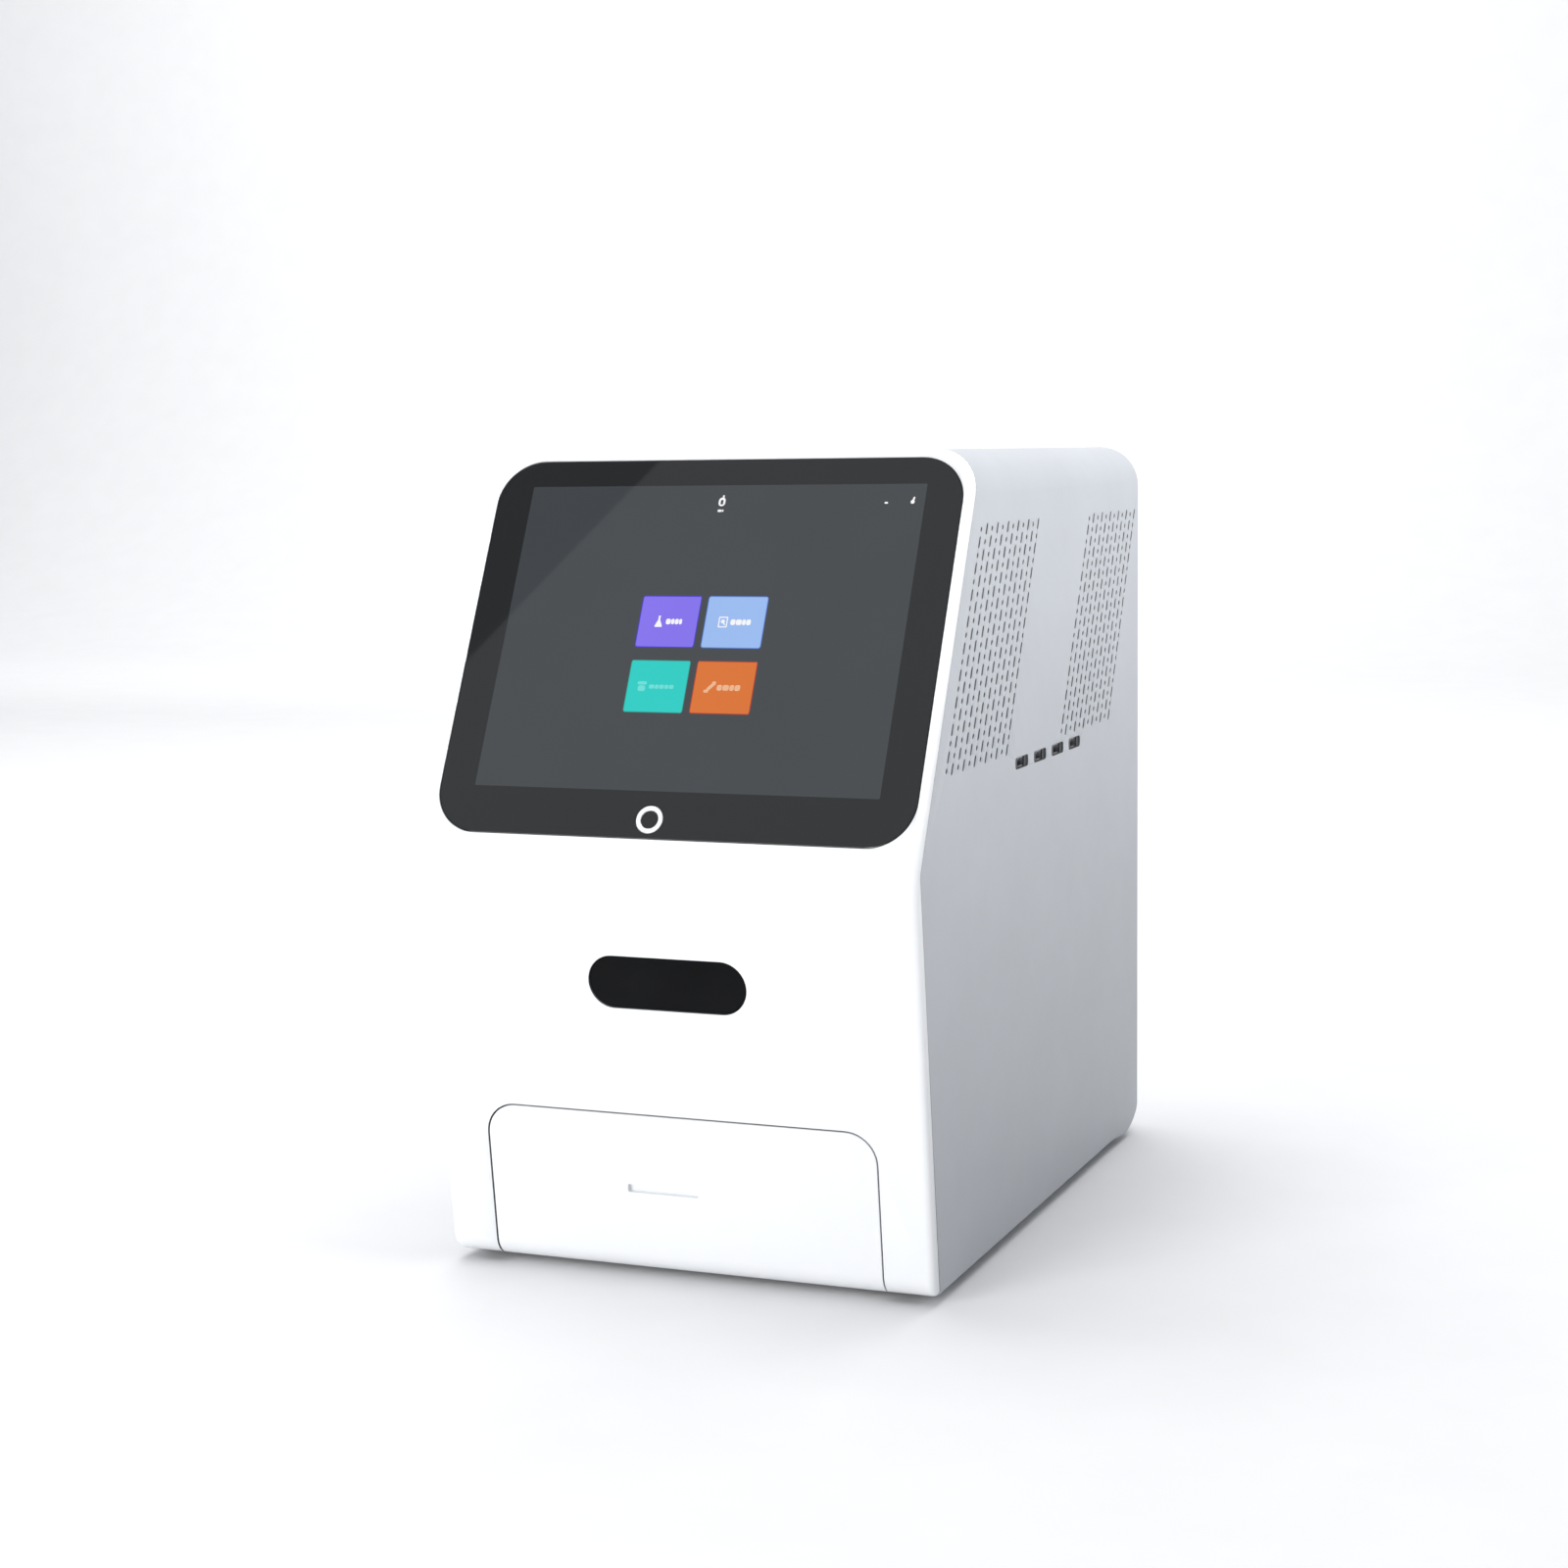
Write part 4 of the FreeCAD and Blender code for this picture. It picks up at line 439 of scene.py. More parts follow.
class Finish:
    """A material under construction: a Principled shader, Object coordinates and a few node shortcuts."""

    def __init__(self, name, roughness=0.5, metallic=0.0, **constants):
        self.material = bpy.data.materials.new(name)
        self.material.use_nodes = True
        self.tree = self.material.node_tree
        self.shader = self.tree.nodes["Principled BSDF"]
        self.shader.inputs["Roughness"].default_value = roughness
        self.shader.inputs["Metallic"].default_value = metallic
        for socket, value in constants.items():
            self.shader.inputs[socket.replace("_", " ")].default_value = value
        self.place = self.node("ShaderNodeTexCoord").outputs["Object"]

    def node(self, kind, **settings):
        made = self.tree.nodes.new(kind)
        for key, value in settings.items():
            setattr(made, key, value)
        return made

    def link(self, source, target):
        self.tree.links.new(source, target)

    def stretched(self, scale):
        mapping = self.node("ShaderNodeMapping")
        mapping.inputs["Scale"].default_value = scale
        self.link(self.place, mapping.inputs["Vector"])
        return mapping.outputs["Vector"]

    def noise(self, scale, stretch=(1, 1, 1), detail=2.0, roughness=0.5):
        texture = self.node("ShaderNodeTexNoise")
        texture.inputs["Scale"].default_value = scale
        texture.inputs["Detail"].default_value = detail
        texture.inputs["Roughness"].default_value = roughness
        self.link(self.stretched(stretch), texture.inputs["Vector"])
        return texture.outputs["Fac"]

    def ramp(self, source, low, high, first=0.0, last=1.0):
        """A value spread between two colours or greys."""
        blend = self.node("ShaderNodeValToRGB")
        blend.color_ramp.elements[0].position, blend.color_ramp.elements[1].position = first, last
        blend.color_ramp.elements[0].color = (*low, 1) if len(low) == 3 else low
        blend.color_ramp.elements[1].color = (*high, 1) if len(high) == 3 else high
        self.link(source, blend.inputs["Fac"])
        return blend.outputs["Color"]

    def clouded(self, tone, low, high, scale, stretch=(1, 1, 1), detail=2.0):
        """A colour with faint clouds, from low times to high times its value."""
        return self.ramp(self.noise(scale, stretch, detail), shade(tone, low), shade(tone, high), 0.3, 0.7)

    def base(self, source):
        self.link(source, self.shader.inputs["Base Color"])

    def rough(self, source, low, high):
        spread = self.node("ShaderNodeMapRange")
        spread.inputs["To Min"].default_value, spread.inputs["To Max"].default_value = low, high
        self.link(source, spread.inputs["Value"])
        self.link(spread.outputs["Result"], self.shader.inputs["Roughness"])

    def bump(self, source, strength, distance):
        relief = self.node("ShaderNodeBump")
        relief.inputs["Strength"].default_value = strength
        relief.inputs["Distance"].default_value = distance
        self.link(source, relief.inputs["Height"])
        self.link(relief.outputs["Normal"], self.shader.inputs["Normal"])


def shade(colour_value, factor):
    return tuple(min(1.0, part * factor) for part in colour_value)


def painted(name, colour_value, roughness=0.42, grain=900, relief=0.06, spread=0.03, **constants):
    """Sprayed or moulded surface: faint clouding of the colour and a fine orange-peel relief."""
    finish = Finish(name, roughness, **constants)
    finish.base(finish.clouded(colour_value, 1 - spread, 1 + spread, 14, detail=3))
    finish.rough(finish.noise(60, detail=3), roughness - 0.05, roughness + 0.05)
    finish.bump(finish.noise(grain, detail=1), relief, 0.0002)
    return finish.material


def brushed(name, colour_value, roughness=0.34, along=(1, 40, 40), metallic=1.0):
    """Rolled or brushed sheet: streaks along one axis in colour, roughness and relief."""
    finish = Finish(name, roughness, metallic)
    streaks = finish.noise(30, along, detail=6, roughness=0.7)
    finish.base(finish.ramp(streaks, shade(colour_value, 0.82), shade(colour_value, 1.08), 0.25, 0.75))
    finish.rough(streaks, roughness - 0.08, roughness + 0.12)
    finish.bump(streaks, 0.12, 0.00005)
    return finish.material


def zinc_plate(name):
    """Zinc plated sheet: pale spangles of slightly different grey."""
    finish = Finish(name, 0.42, 1.0)
    cells = finish.node("ShaderNodeTexVoronoi")
    cells.inputs["Scale"].default_value = 160
    finish.link(finish.place, cells.inputs["Vector"])
    finish.base(finish.ramp(cells.outputs["Distance"], (0.52, 0.54, 0.56), (0.70, 0.72, 0.73), 0.0, 0.8))
    finish.rough(finish.noise(90, detail=4), 0.32, 0.5)
    finish.bump(finish.noise(500, detail=2), 0.08, 0.0001)
    return finish.material


def circuit(name):
    """Green circuit board: lacquer over a maze of slightly raised tracks."""
    finish = Finish(name, 0.35, 0.0, Coat_Weight=0.4, Coat_Roughness=0.15)
    tracks = finish.node("ShaderNodeTexBrick")
    tracks.inputs["Scale"].default_value = 90
    tracks.inputs["Mortar Size"].default_value = 0.06
    tracks.inputs["Color1"].default_value = (0.012, 0.085, 0.035, 1)
    tracks.inputs["Color2"].default_value = (0.016, 0.105, 0.045, 1)
    tracks.inputs["Mortar"].default_value = (0.03, 0.19, 0.08, 1)
    turned = finish.node("ShaderNodeMapping")
    turned.inputs["Rotation"].default_value = (math.radians(90), 0, 0)
    finish.link(finish.place, turned.inputs["Vector"])
    finish.link(turned.outputs["Vector"], tracks.inputs["Vector"])
    finish.base(tracks.outputs["Color"])
    finish.bump(tracks.outputs["Fac"], 0.2, 0.0001)
    return finish.material


def foam_pad(name):
    """Open-cell filter pad: dark pores between paler webs."""
    finish = Finish(name, 0.95)
    pores = finish.node("ShaderNodeTexVoronoi", feature="SMOOTH_F1")
    pores.inputs["Scale"].default_value = 700
    finish.link(finish.place, pores.inputs["Vector"])
    finish.base(finish.ramp(pores.outputs["Distance"], (0.012, 0.012, 0.013), (0.06, 0.061, 0.064), 0.1, 0.7))
    finish.bump(pores.outputs["Distance"], 0.8, 0.0006)
    return finish.material


def print_under_glass(name, colour_value):
    """Opaque print seen through a polished glass: deep colour, faint clouding, mirror-smooth coat."""
    finish = Finish(name, 0.5, 0.0, Coat_Weight=1.0, Coat_Roughness=0.02, Coat_IOR=1.5,
                    Specular_IOR_Level=0.0)
    finish.base(finish.clouded(colour_value, 0.94, 1.06, 25))
    return finish.material


def lit_image(name, colour_value, spread=0.03):
    """Lit picture elements under the glass: colour that glows, with a faint clouding."""
    finish = Finish(name, 0.5, 0.0, Coat_Weight=1.0, Coat_Roughness=0.02, Coat_IOR=1.5,
                    Specular_IOR_Level=0.0, Emission_Strength=1.0)
    finish.shader.inputs["Base Color"].default_value = (0.004, 0.004, 0.004, 1)
    tone = finish.clouded(colour_value, 1 - spread, 1 + spread, 18)
    finish.link(tone, finish.shader.inputs["Emission Color"])
    return finish.material


def dark_acrylic(name):
    """Ultraviolet-blocking acrylic, almost black, with faint haze from wiping."""
    finish = Finish(name, 0.12, 0.0, Specular_IOR_Level=0.08)
    haze = finish.noise(20, (1, 6, 1), detail=4)
    finish.base(finish.ramp(haze, (0.002, 0.0023, 0.0026), (0.005, 0.0053, 0.0057), 0.3, 0.7))
    finish.rough(finish.noise(35, (1, 5, 1), detail=5), 0.08, 0.22)
    return finish.material


def clear_tube(name, colour_value, transmission=0.6, roughness=0.12):
    """Tinted glass with a slight unevenness."""
    finish = Finish(name, roughness, 0.0, Transmission_Weight=transmission, IOR=1.5)
    finish.base(finish.clouded(colour_value, 0.92, 1.05, 40, detail=3))
    finish.bump(finish.noise(120, detail=2), 0.03, 0.0001)
    return finish.material


def make_materials():
    c = bpy.context.scene.gel_colours
    made = {
        "shell": painted("satin_white_moulding", c.shell, 0.38, 1400, 0.05, 0.012),
        # cover grey: partly its own paint, partly painted shade on the sides next to the white front
        "cover": painted("grey_paint_and_painted_shade_cover", c.cover, 0.42, 1100, 0.10, 0.018),
        # the near-black inner face and the dark cut edge are painted shade that darkens what is seen through
        # the vents, ports and other openings
        "inside": painted("painted_shade_inner_face", (0.03, 0.03, 0.032), 0.7, 700, 0.1, 0.1),
        "cut": painted("painted_shade_cut_edge", (0.055, 0.057, 0.062), 0.6, 900, 0.1, 0.1),
        "border": print_under_glass("black_glass_border", c.bezel),
        "image": lit_image("lit_image_ground", c.image),
        "mark": lit_image("lit_white_mark", (0.93, 0.93, 0.95)),
        "teal_mark": lit_image("lit_teal_mark", (0.14, 0.72, 0.68)),
        "orange_mark": lit_image("lit_orange_mark", (0.84, 0.46, 0.26)),
        "ring": painted("opal_white_ring", (0.78, 0.78, 0.79), 0.3, 600, 0.02, 0.01, Coat_Weight=0.4),
        "window": dark_acrylic("dark_acrylic"),
        "rubber": painted("black_rubber", (0.022, 0.022, 0.024), 0.8, 700, 0.3, 0.15),
        "black_metal": painted("matte_black_paint", (0.020, 0.020, 0.022), 0.6, 900, 0.15, 0.15),
        "zinc": zinc_plate("zinc_plated_sheet"),
        "steel": brushed("plated_steel", (0.58, 0.59, 0.61), 0.3, (40, 1, 40)),
        "board": circuit("green_board"),
        "plastic": painted("black_moulding", (0.024, 0.024, 0.026), 0.45, 1500, 0.2, 0.12),
        "anodised": brushed("black_anodised", (0.035, 0.035, 0.038), 0.36, (40, 40, 1), 0.7),
        "aluminium": brushed("satin_aluminium", (0.74, 0.75, 0.77), 0.3, (1, 40, 40)),
        "filter": clear_tube("dark_violet_filter", (0.035, 0.012, 0.075), 0.0, 0.08),
        "tube": clear_tube("lamp_tube_glass", (0.72, 0.76, 0.86), 0.25, 0.1),
        "orange_glass": clear_tube("orange_bandpass", (0.75, 0.26, 0.05), 0.6, 0.05),
        "opal": painted("opal_diffuser", (0.82, 0.83, 0.85), 0.5, 500, 0.05, 0.03),
        "foam": foam_pad("filter_pad"),
    }
    for name in ("purple", "blue", "teal", "orange"):
        tone = getattr(c, name)
        made[name] = lit_image("lit_" + name, tone, spread=0.02)
        made[name + "_edge"] = lit_image("lit_" + name + "_edge", [part ** 2 for part in tone], spread=0.02)
    return made


MATERIALS = {}

# What is left of the frame gets these finishes
NODE_FINISH = {
    "base_pan": "zinc", "rear_panel": "cover", "rubber_feet": "rubber", "lcd_module": "black_metal",
    "display_bracket": "zinc", "display_board": "board", "button_housing": "plastic",
    "window_gasket": "rubber", "window_hood": "black_metal", "dark_chamber": "black_metal",
    "frame_side_left": "zinc", "frame_side_right": "zinc", "camera_shelf": "black_metal",
    "camera_bracket": "aluminium", "camera_body": "anodised", "lens_barrel": "anodised",
    "wheel_motor": "black_metal", "wheel_bracket": "zinc", "led_bars": "aluminium",
    "led_diffusers": "opal", "mainboard": "board", "power_supply": "zinc", "fan_frame": "plastic",
    "power_inlet": "plastic", "rocker_housing": "plastic", "usb_board": "board", "usb_sockets": "steel",
    "usb_bezel": "plastic", "dust_filters": "foam", "slide_outer_left": "steel",
    "slide_outer_right": "steel", "catch_block": "plastic", "catch_magnet": "steel",
    "panel_screws": "steel", "drawer_tray": "zinc", "stage_frame": "black_metal",
    "uv_filter_plate": "filter", "uv_tubes": "tube", "lamp_holders": "opal",
    "lamp_reflector": "aluminium", "ballast_board": "board", "strike_plate": "steel",
    "slide_inner_left": "steel", "slide_inner_right": "steel", "slide_middle_left": "steel",
    "slide_middle_right": "steel", "power_rocker": "plastic", "filter_wheel": "anodised",
    "filter_glasses": "orange_glass", "wheel_shaft": "steel", "aperture_ring": "anodised",
    "focus_ring": "anodised", "fan_rotor": "plastic",
}

# Operators

# Rows of points over a shoulder, and the air between the glass and its ledge
SHOULDER_STEPS = 13
LEDGE_CLEARANCE = 0.0001


class GEL_OT_finishes(bpy.types.Operator):
    """Make the materials and give each carried-over node its finish"""
    bl_idname = "gel.finishes"
    bl_label = "Finishes"

    def execute(self, context):
        MATERIALS.update(make_materials())
        for node, finish in NODE_FINISH.items():
            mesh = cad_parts[node].data
            mesh.materials.clear()
            mesh.materials.append(MATERIALS[finish])
        return {"FINISHED"}


class GEL_OT_front(bpy.types.Operator):
    """Mould the white front: two planes and their arc, a rounded rim, and its openings"""
    bl_idname = "gel.front"
    bl_label = "Moulded front"

    def execute(self, context):
        s, d, w = context.scene.gel_cabinet, context.scene.gel_display, context.scene.gel_front
        form = Form()
        r = s.rim_radius
        reach = form.half - r
        toe_turn, toe_y, toe_z = form.toe_arc(r, form.seam_angle)
        nose_turn, nose_y, nose_z = form.nose_arc(r)
        shoulder_turn = np.linspace(0, math.pi / 2, SHOULDER_STEPS)
        shoulder_z = form.top - form.shoulder + (form.shoulder - r) * np.sin(shoulder_turn)
        z = np.concatenate([toe_z, nose_z, shoulder_z])
        y = np.concatenate([toe_y, nose_y, form.upper_y(shoulder_z, r)])
        elevation = np.concatenate([toe_turn, nose_turn, np.full_like(shoulder_turn, form.tilt)])
        straight = np.zeros(len(toe_z) + len(nose_z))
        around = np.concatenate([straight, shoulder_turn])
        side = np.stack([np.cos(around), np.zeros_like(around), np.sin(around)], -1)
        x = np.concatenate([straight + reach,
                            form.half - form.shoulder + (form.shoulder - r) * np.cos(shoulder_turn)])
        edge = both_sides(rim(form, x, y, z, elevation, side, r, 7))
        edge[..., 1] = np.minimum(edge[..., 1], form.sharp(edge[..., 2]) + s.fascia_depth)
        back = edge[:, -1].copy()
        back[:, 1] = form.sharp(back[:, 2]) + s.fascia_depth
        parts = [sheet(edge), sheet(np.stack([edge[:, -1], back], 1))]

        # posts beside the doorway, over the toe
        door = w.drawer_width / 2 + w.drawer_gap
        turn, arc_y, arc_z = form.toe_arc(0, form.seam_angle)
        parts += [span((sign * door, sign * reach), arc_y, arc_z) for sign in (1, -1)]

        # lower plane between toe and nose, round the doorway and the window
        low_z, high_z = arc_z[-1], form.nose_arc(0)[2][0]
        corner = w.drawer_corner + w.drawer_gap
        door_top = form.floor + w.drawer_top + w.drawer_gap
        bend = np.linspace(0, math.pi / 2, 12)
        centre = np.array([door - corner, door_top - corner])
        arch = centre + corner * np.stack([np.cos(bend), np.sin(bend)], -1)
        arch = np.concatenate([[[door, low_z]], arch, arch[::-1] * [-1, 1], [[-door, low_z]]])
        corners = [[reach, low_z], [reach, high_z], [-reach, high_z], [-reach, low_z]]
        outline = np.concatenate([corners, arch[::-1]])
        rise = -(form.nose_z - form.floor - w.window_level) / math.cos(form.lean)
        window = rounded(0, rise, w.window_width, w.window_height, w.window_height / 2, 16)
        window = form.panel(window)[:, [0, 2]]
        parts.append(fill(outline, [window], form.plane_xz))

        # nose arc, full width
        turn, arc_y, arc_z = form.nose_arc(0)
        parts.append(span((-reach, reach), arc_y, arc_z))

        # display plane round the glass
        start = len(toe_z) + len(nose_z) - 1
        border = edge[start:len(edge) - start, 0]
        flat = np.stack([border[:, 0], (border[:, 2] - form.nose_z) / math.cos(form.tilt)], -1)
        glass = rounded(0, d.glass_start + d.glass_length / 2, d.glass_width + 2 * d.gap,
                        d.glass_length + 2 * d.gap, d.glass_corner + d.gap, 16)
        parts.append(fill(flat, [glass], form.screen))
        # the cut edges round the openings carry painted shade
        faces = [MATERIALS[name] for name in ("shell", "shell", "cut")]
        add_piece("moulded_front", parts, "root", faces, ["front_fascia"],
                  wall=s.fascia_wall, solid=False)

        # ledge that carries the glass, round the opening behind it
        under = 2 * d.gap + 2 * d.ledge_lap
        outer = rounded(0, d.glass_start + d.glass_length / 2, d.glass_width + under,
                        d.glass_length + under, d.glass_corner + d.gap, 16)
        inner = rounded(0, d.image_centre, d.image_width + 2 * d.ledge_side,
                        d.image_length + 2 * d.ledge_end, d.ledge_corner, 4)
        ledge = fill(outer, [inner], lambda flat: form.screen(flat, -d.glass_thick - LEDGE_CLEARANCE))
        add_piece("display_ledge", [ledge], "root", MATERIALS["shell"],
                  wall=d.ledge_wall, solid=False)
        return {"FINISHED"}


def vent_holes(form, first):
    """Slots and dots of one leaning field as outlines in y and z.

    Each is a stretched circle: two half circles, moved apart along the lean."""
    v = bpy.context.scene.gel_vents
    row, column = np.meshgrid(np.arange(v.rows), np.arange(v.columns), indexing="ij")
    row, column = row.ravel(), column.ravel()
    lean = math.tan(form.tilt)
    drop = row * v.row_pitch
    y = form.nose_y + first + column * v.pitch - drop * lean
    z = form.floor + v.top - drop
    reach = np.where((row + column) % 2 == 1, v.slot, v.dot) / 2 - v.width / 2
    turn = np.concatenate([np.linspace(0, math.pi, 5), np.linspace(math.pi, 2 * math.pi, 5)])
    ends = np.repeat([1, -1], 5)
    up = v.width / 2 * np.sin(turn)[None] + ends[None] * reach[:, None]
    across = v.width / 2 * np.cos(turn)[None] + up * lean
    return np.stack([y[:, None] + across, z[:, None] + up], -1)


class GEL_OT_cover(bpy.types.Operator):
    """Fold the outer cover: vented sides, shoulders, top, rounded rear with its opening, and lower flanges"""
    bl_idname = "gel.cover"
    bl_label = "Outer cover"

    def execute(self, context):
        s, v, p = context.scene.gel_cabinet, context.scene.gel_vents, context.scene.gel_sockets
        form = Form()
        setback = s.fascia_depth + s.seam
        rear = form.rear - s.rear_radius
        shoulder_z = form.top - form.shoulder
        centre_y, centre_z = form.toe_centre

        # lower edge: round like the rim over the toe and along the side, running out before the heel
        r = s.rim_radius
        turn = np.linspace(-math.pi / 2, form.seam_angle - s.seam / form.toe_radius, 6)[::-1]
        toe_y = centre_y - (form.toe_radius - r) * np.cos(turn)
        toe_z = centre_z + (form.toe_radius - r) * np.sin(turn)
        heel = form.rear - s.heel_radius
        run_y = np.linspace(heel - s.edge_runout, heel, 9)
        fade = r * (0.5 + 0.5 * np.cos(np.linspace(0, math.pi, 9)))
        fade[-1] = WELD / 2
        low_y, low_z = np.concatenate([toe_y, run_y]), np.concatenate([toe_z, form.floor + fade])
        radius = np.concatenate([np.full_like(turn, r), fade])
        down = np.concatenate([turn, np.full_like(fade, -math.pi / 2)])
        side = np.tile([1.0, 0, 0], (len(down), 1))
        edge = rim(form, form.half - radius, low_y, low_z, down, side, radius, 6)
        lead = edge[:1].copy()
        lead[..., 1] = form.sharp(lead[..., 2]) + setback
        # where the row meets the seam, the two are one, so that no sliver is left between them
        near = edge[:1, :, 1] - lead[..., 1] < s.seam
        lead[near] = edge[:1][near]
        edge = np.concatenate([lead, edge])
        heel_y = np.linspace(heel, rear, 7)
        front = [[form.sharp(shoulder_z) + setback, shoulder_z], [form.nose_y + setback, form.nose_z]]
        outline = np.concatenate([edge[:, -1, 1:], np.stack([heel_y, form.heel_z(heel_y)], -1)[1:],
                                  [[rear, shoulder_z]], front])
        fields = np.concatenate([vent_holes(form, v.front), vent_holes(form, v.rear)])
        ports = [rounded(form.nose_y + p.first + number * p.pitch, form.floor + p.level,
                         p.width, p.height, p.corner, 5) for number in range(p.count)]
        parts = []
        for sign, holes in ((1, list(fields) + ports), (-1, list(fields))):
            def wall(flat, sign=sign):
                return np.concatenate([np.full((len(flat), 1), sign * form.half), flat], 1)
            parts.append(fill(outline, holes, wall))
            parts.append(sheet(edge * [sign, 1, 1]))
            flange = edge[:, 0] * [sign, 1, 1]
            inner = flange.copy()
            inner[:, 0] = sign * (form.half - s.flange)
            parts.append(sheet(np.stack([flange, inner], 1)))

        # shoulders and top
        turn = np.linspace(0, math.pi / 2, 12)
        x = form.half - form.shoulder + form.shoulder * np.cos(turn)
        z = shoulder_z + form.shoulder * np.sin(turn)
        lines = [np.stack([x, y, z], -1) for y in (form.sharp(z) + setback, np.full_like(z, rear))]
        parts.append(sheet(both_sides(np.stack(lines, 1))))

        # rear rounding, then the rear face round its opening
        steps = np.linspace(0, math.pi / 2, 10)
        loops = []
        for step in steps:
            back = rear + s.rear_radius * math.sin(step)
            flat = form.section(s.rear_radius * (1 - math.cos(step)), form.heel_z(back))
            loops.append(np.insert(flat, 1, back, axis=1))
        parts.append(sheet(np.stack(loops), wrap=True))
        half = s.rear_width / 2
        low, high = form.floor + s.rear_low, form.floor + s.rear_high
        opening = [[-half, low], [half, low], [half, high], [-half, high]]

        def rear_face(flat):
            return np.stack([flat[:, 0], np.full(len(flat), form.rear), flat[:, 1]], -1)
        parts.append(fill(form.section(s.rear_radius, form.heel_z(form.rear)), [opening], rear_face))

        # lower rear corner: a level strip, then the arc up to the rear rounding
        lap_y = np.concatenate([[heel - s.rear_lap], heel_y])
        lap_z = np.concatenate([[form.floor], form.heel_z(heel_y)])
        inner = form.half - s.flange
        parts.append(span((inner, -inner), lap_y, lap_z))
        parts += [span((sign * inner, sign * form.half), heel_y, form.heel_z(heel_y)) for sign in (1, -1)]
        # the inner face and the cut edges carry painted shade, which darkens the vents and ports
        faces = [MATERIALS[name] for name in ("cover", "inside", "cut")]
        add_piece("outer_cover_shell", parts, "root", faces, ["outer_cover"],
                  wall=s.cover_wall, solid=False)
        return {"FINISHED"}


class GEL_OT_drawer_front(bpy.types.Operator):
    """Shape the drawer front from the same form, with a rounded edge and a finger groove"""
    bl_idname = "gel.drawer_front"
    bl_label = "Drawer front"

    def execute(self, context):
        w = context.scene.gel_front
        form = Form()
        r, half = w.edge, w.drawer_width / 2
        reach = half - r
        top = form.floor + w.drawer_top

        def back_y(z):
            return form.nose_y + (form.nose_z - z) * math.tan(form.lean) + w.drawer_depth
        toe_turn, toe_y, toe_z = form.toe_arc(r)
        turn = np.linspace(0, math.pi / 2, 12)
        corner_z = top - w.drawer_corner + (w.drawer_corner - r) * np.sin(turn)
        corner_y = form.nose_y + (form.nose_z - corner_z) * math.tan(form.lean) + r / math.cos(form.lean)
        z = np.concatenate([[form.floor + r], toe_z, corner_z])
        y = np.concatenate([[back_y(form.floor + r)], toe_y, corner_y])
        elevation = np.concatenate([[-math.pi / 2], toe_turn, np.full_like(turn, -form.lean)])
        straight = np.zeros(1 + len(toe_z))
        around = np.concatenate([straight, turn])
        side = np.stack([np.cos(around), np.zeros_like(around), np.sin(around)], -1)
        x = np.concatenate([straight + reach, half - w.drawer_corner + (w.drawer_corner - r) * np.cos(turn)])
        edge = both_sides(rim(form, x, y, z, elevation, side, r, 5))
        back = edge[:, -1].copy()
        back[:, 1] = back_y(back[:, 2])
        parts = [sheet(edge), sheet(np.stack([edge[:, -1], back], 1))]
        toe = edge[:len(straight), 0]
        parts.append(sheet(np.stack([toe, toe * [-1, 1, 1]], 1)))
        border = edge[len(straight) - 1:len(edge) - len(straight) + 1, 0]
        rise = -(form.nose_z - form.floor - w.groove_level) / math.cos(form.lean)
        groove = rounded(w.groove_offset, rise, w.groove_width, w.groove_height, 0.0012, 5)
        mouth = form.panel(groove)
        parts.append(fill(border[:, [0, 2]], [mouth[:, [0, 2]]], form.plane_xz))
        floor = form.panel(groove, -w.groove_depth)
        parts.append(sheet(np.stack([mouth, floor]), wrap=True))
        parts.append((floor, [list(range(len(floor)))]))
        rear = np.concatenate([back, edge[-1, :][::-1], edge[0, :]])
        parts.append((rear, [list(range(len(rear)))]))
        add_piece("drawer_front_shell", parts, "drawer", MATERIALS["shell"], ["drawer_front"])
        return {"FINISHED"}


# Thickness of a print, and how high the image, a tile's line, a tile and the marks lie above the glass
PRINT_WALL = 0.00001
IMAGE_LEVEL, LINE_LEVEL, TILE_LEVEL, MARK_LEVEL = 0.00004, 0.00006, 0.00008, 0.00012


def art(name, outlines, holes, place, level, material):
    """Flat marks on the glass: filled outlines with a thickness of print."""
    parts = [fill(outline, holes, lambda flat: place(flat, level)) for outline in outlines]
    add_piece(name, parts, "root", MATERIALS[material], wall=PRINT_WALL, solid=False)


def turned(outline, x, y, degrees):
    """An outline turned about its own zero and moved to x and y."""
    c, s = math.cos(math.radians(degrees)), math.sin(math.radians(degrees))
    return np.asarray(outline) @ np.array([[c, s], [-s, c]]) + [x, y]


WORD_GAP = 0.12


def words(x, y, width, height, shares):
    """A line of unreadable text: rounded bars whose widths share the line."""
    total = sum(shares) + WORD_GAP * (len(shares) - 1)
    unit = width / total
    outlines, left = [], x - width / 2
    for share in shares:
        outlines.append(rounded(left + share * unit / 2, y, share * unit, height, height * 0.3, 4))
        left += (share + WORD_GAP) * unit
    return outlines


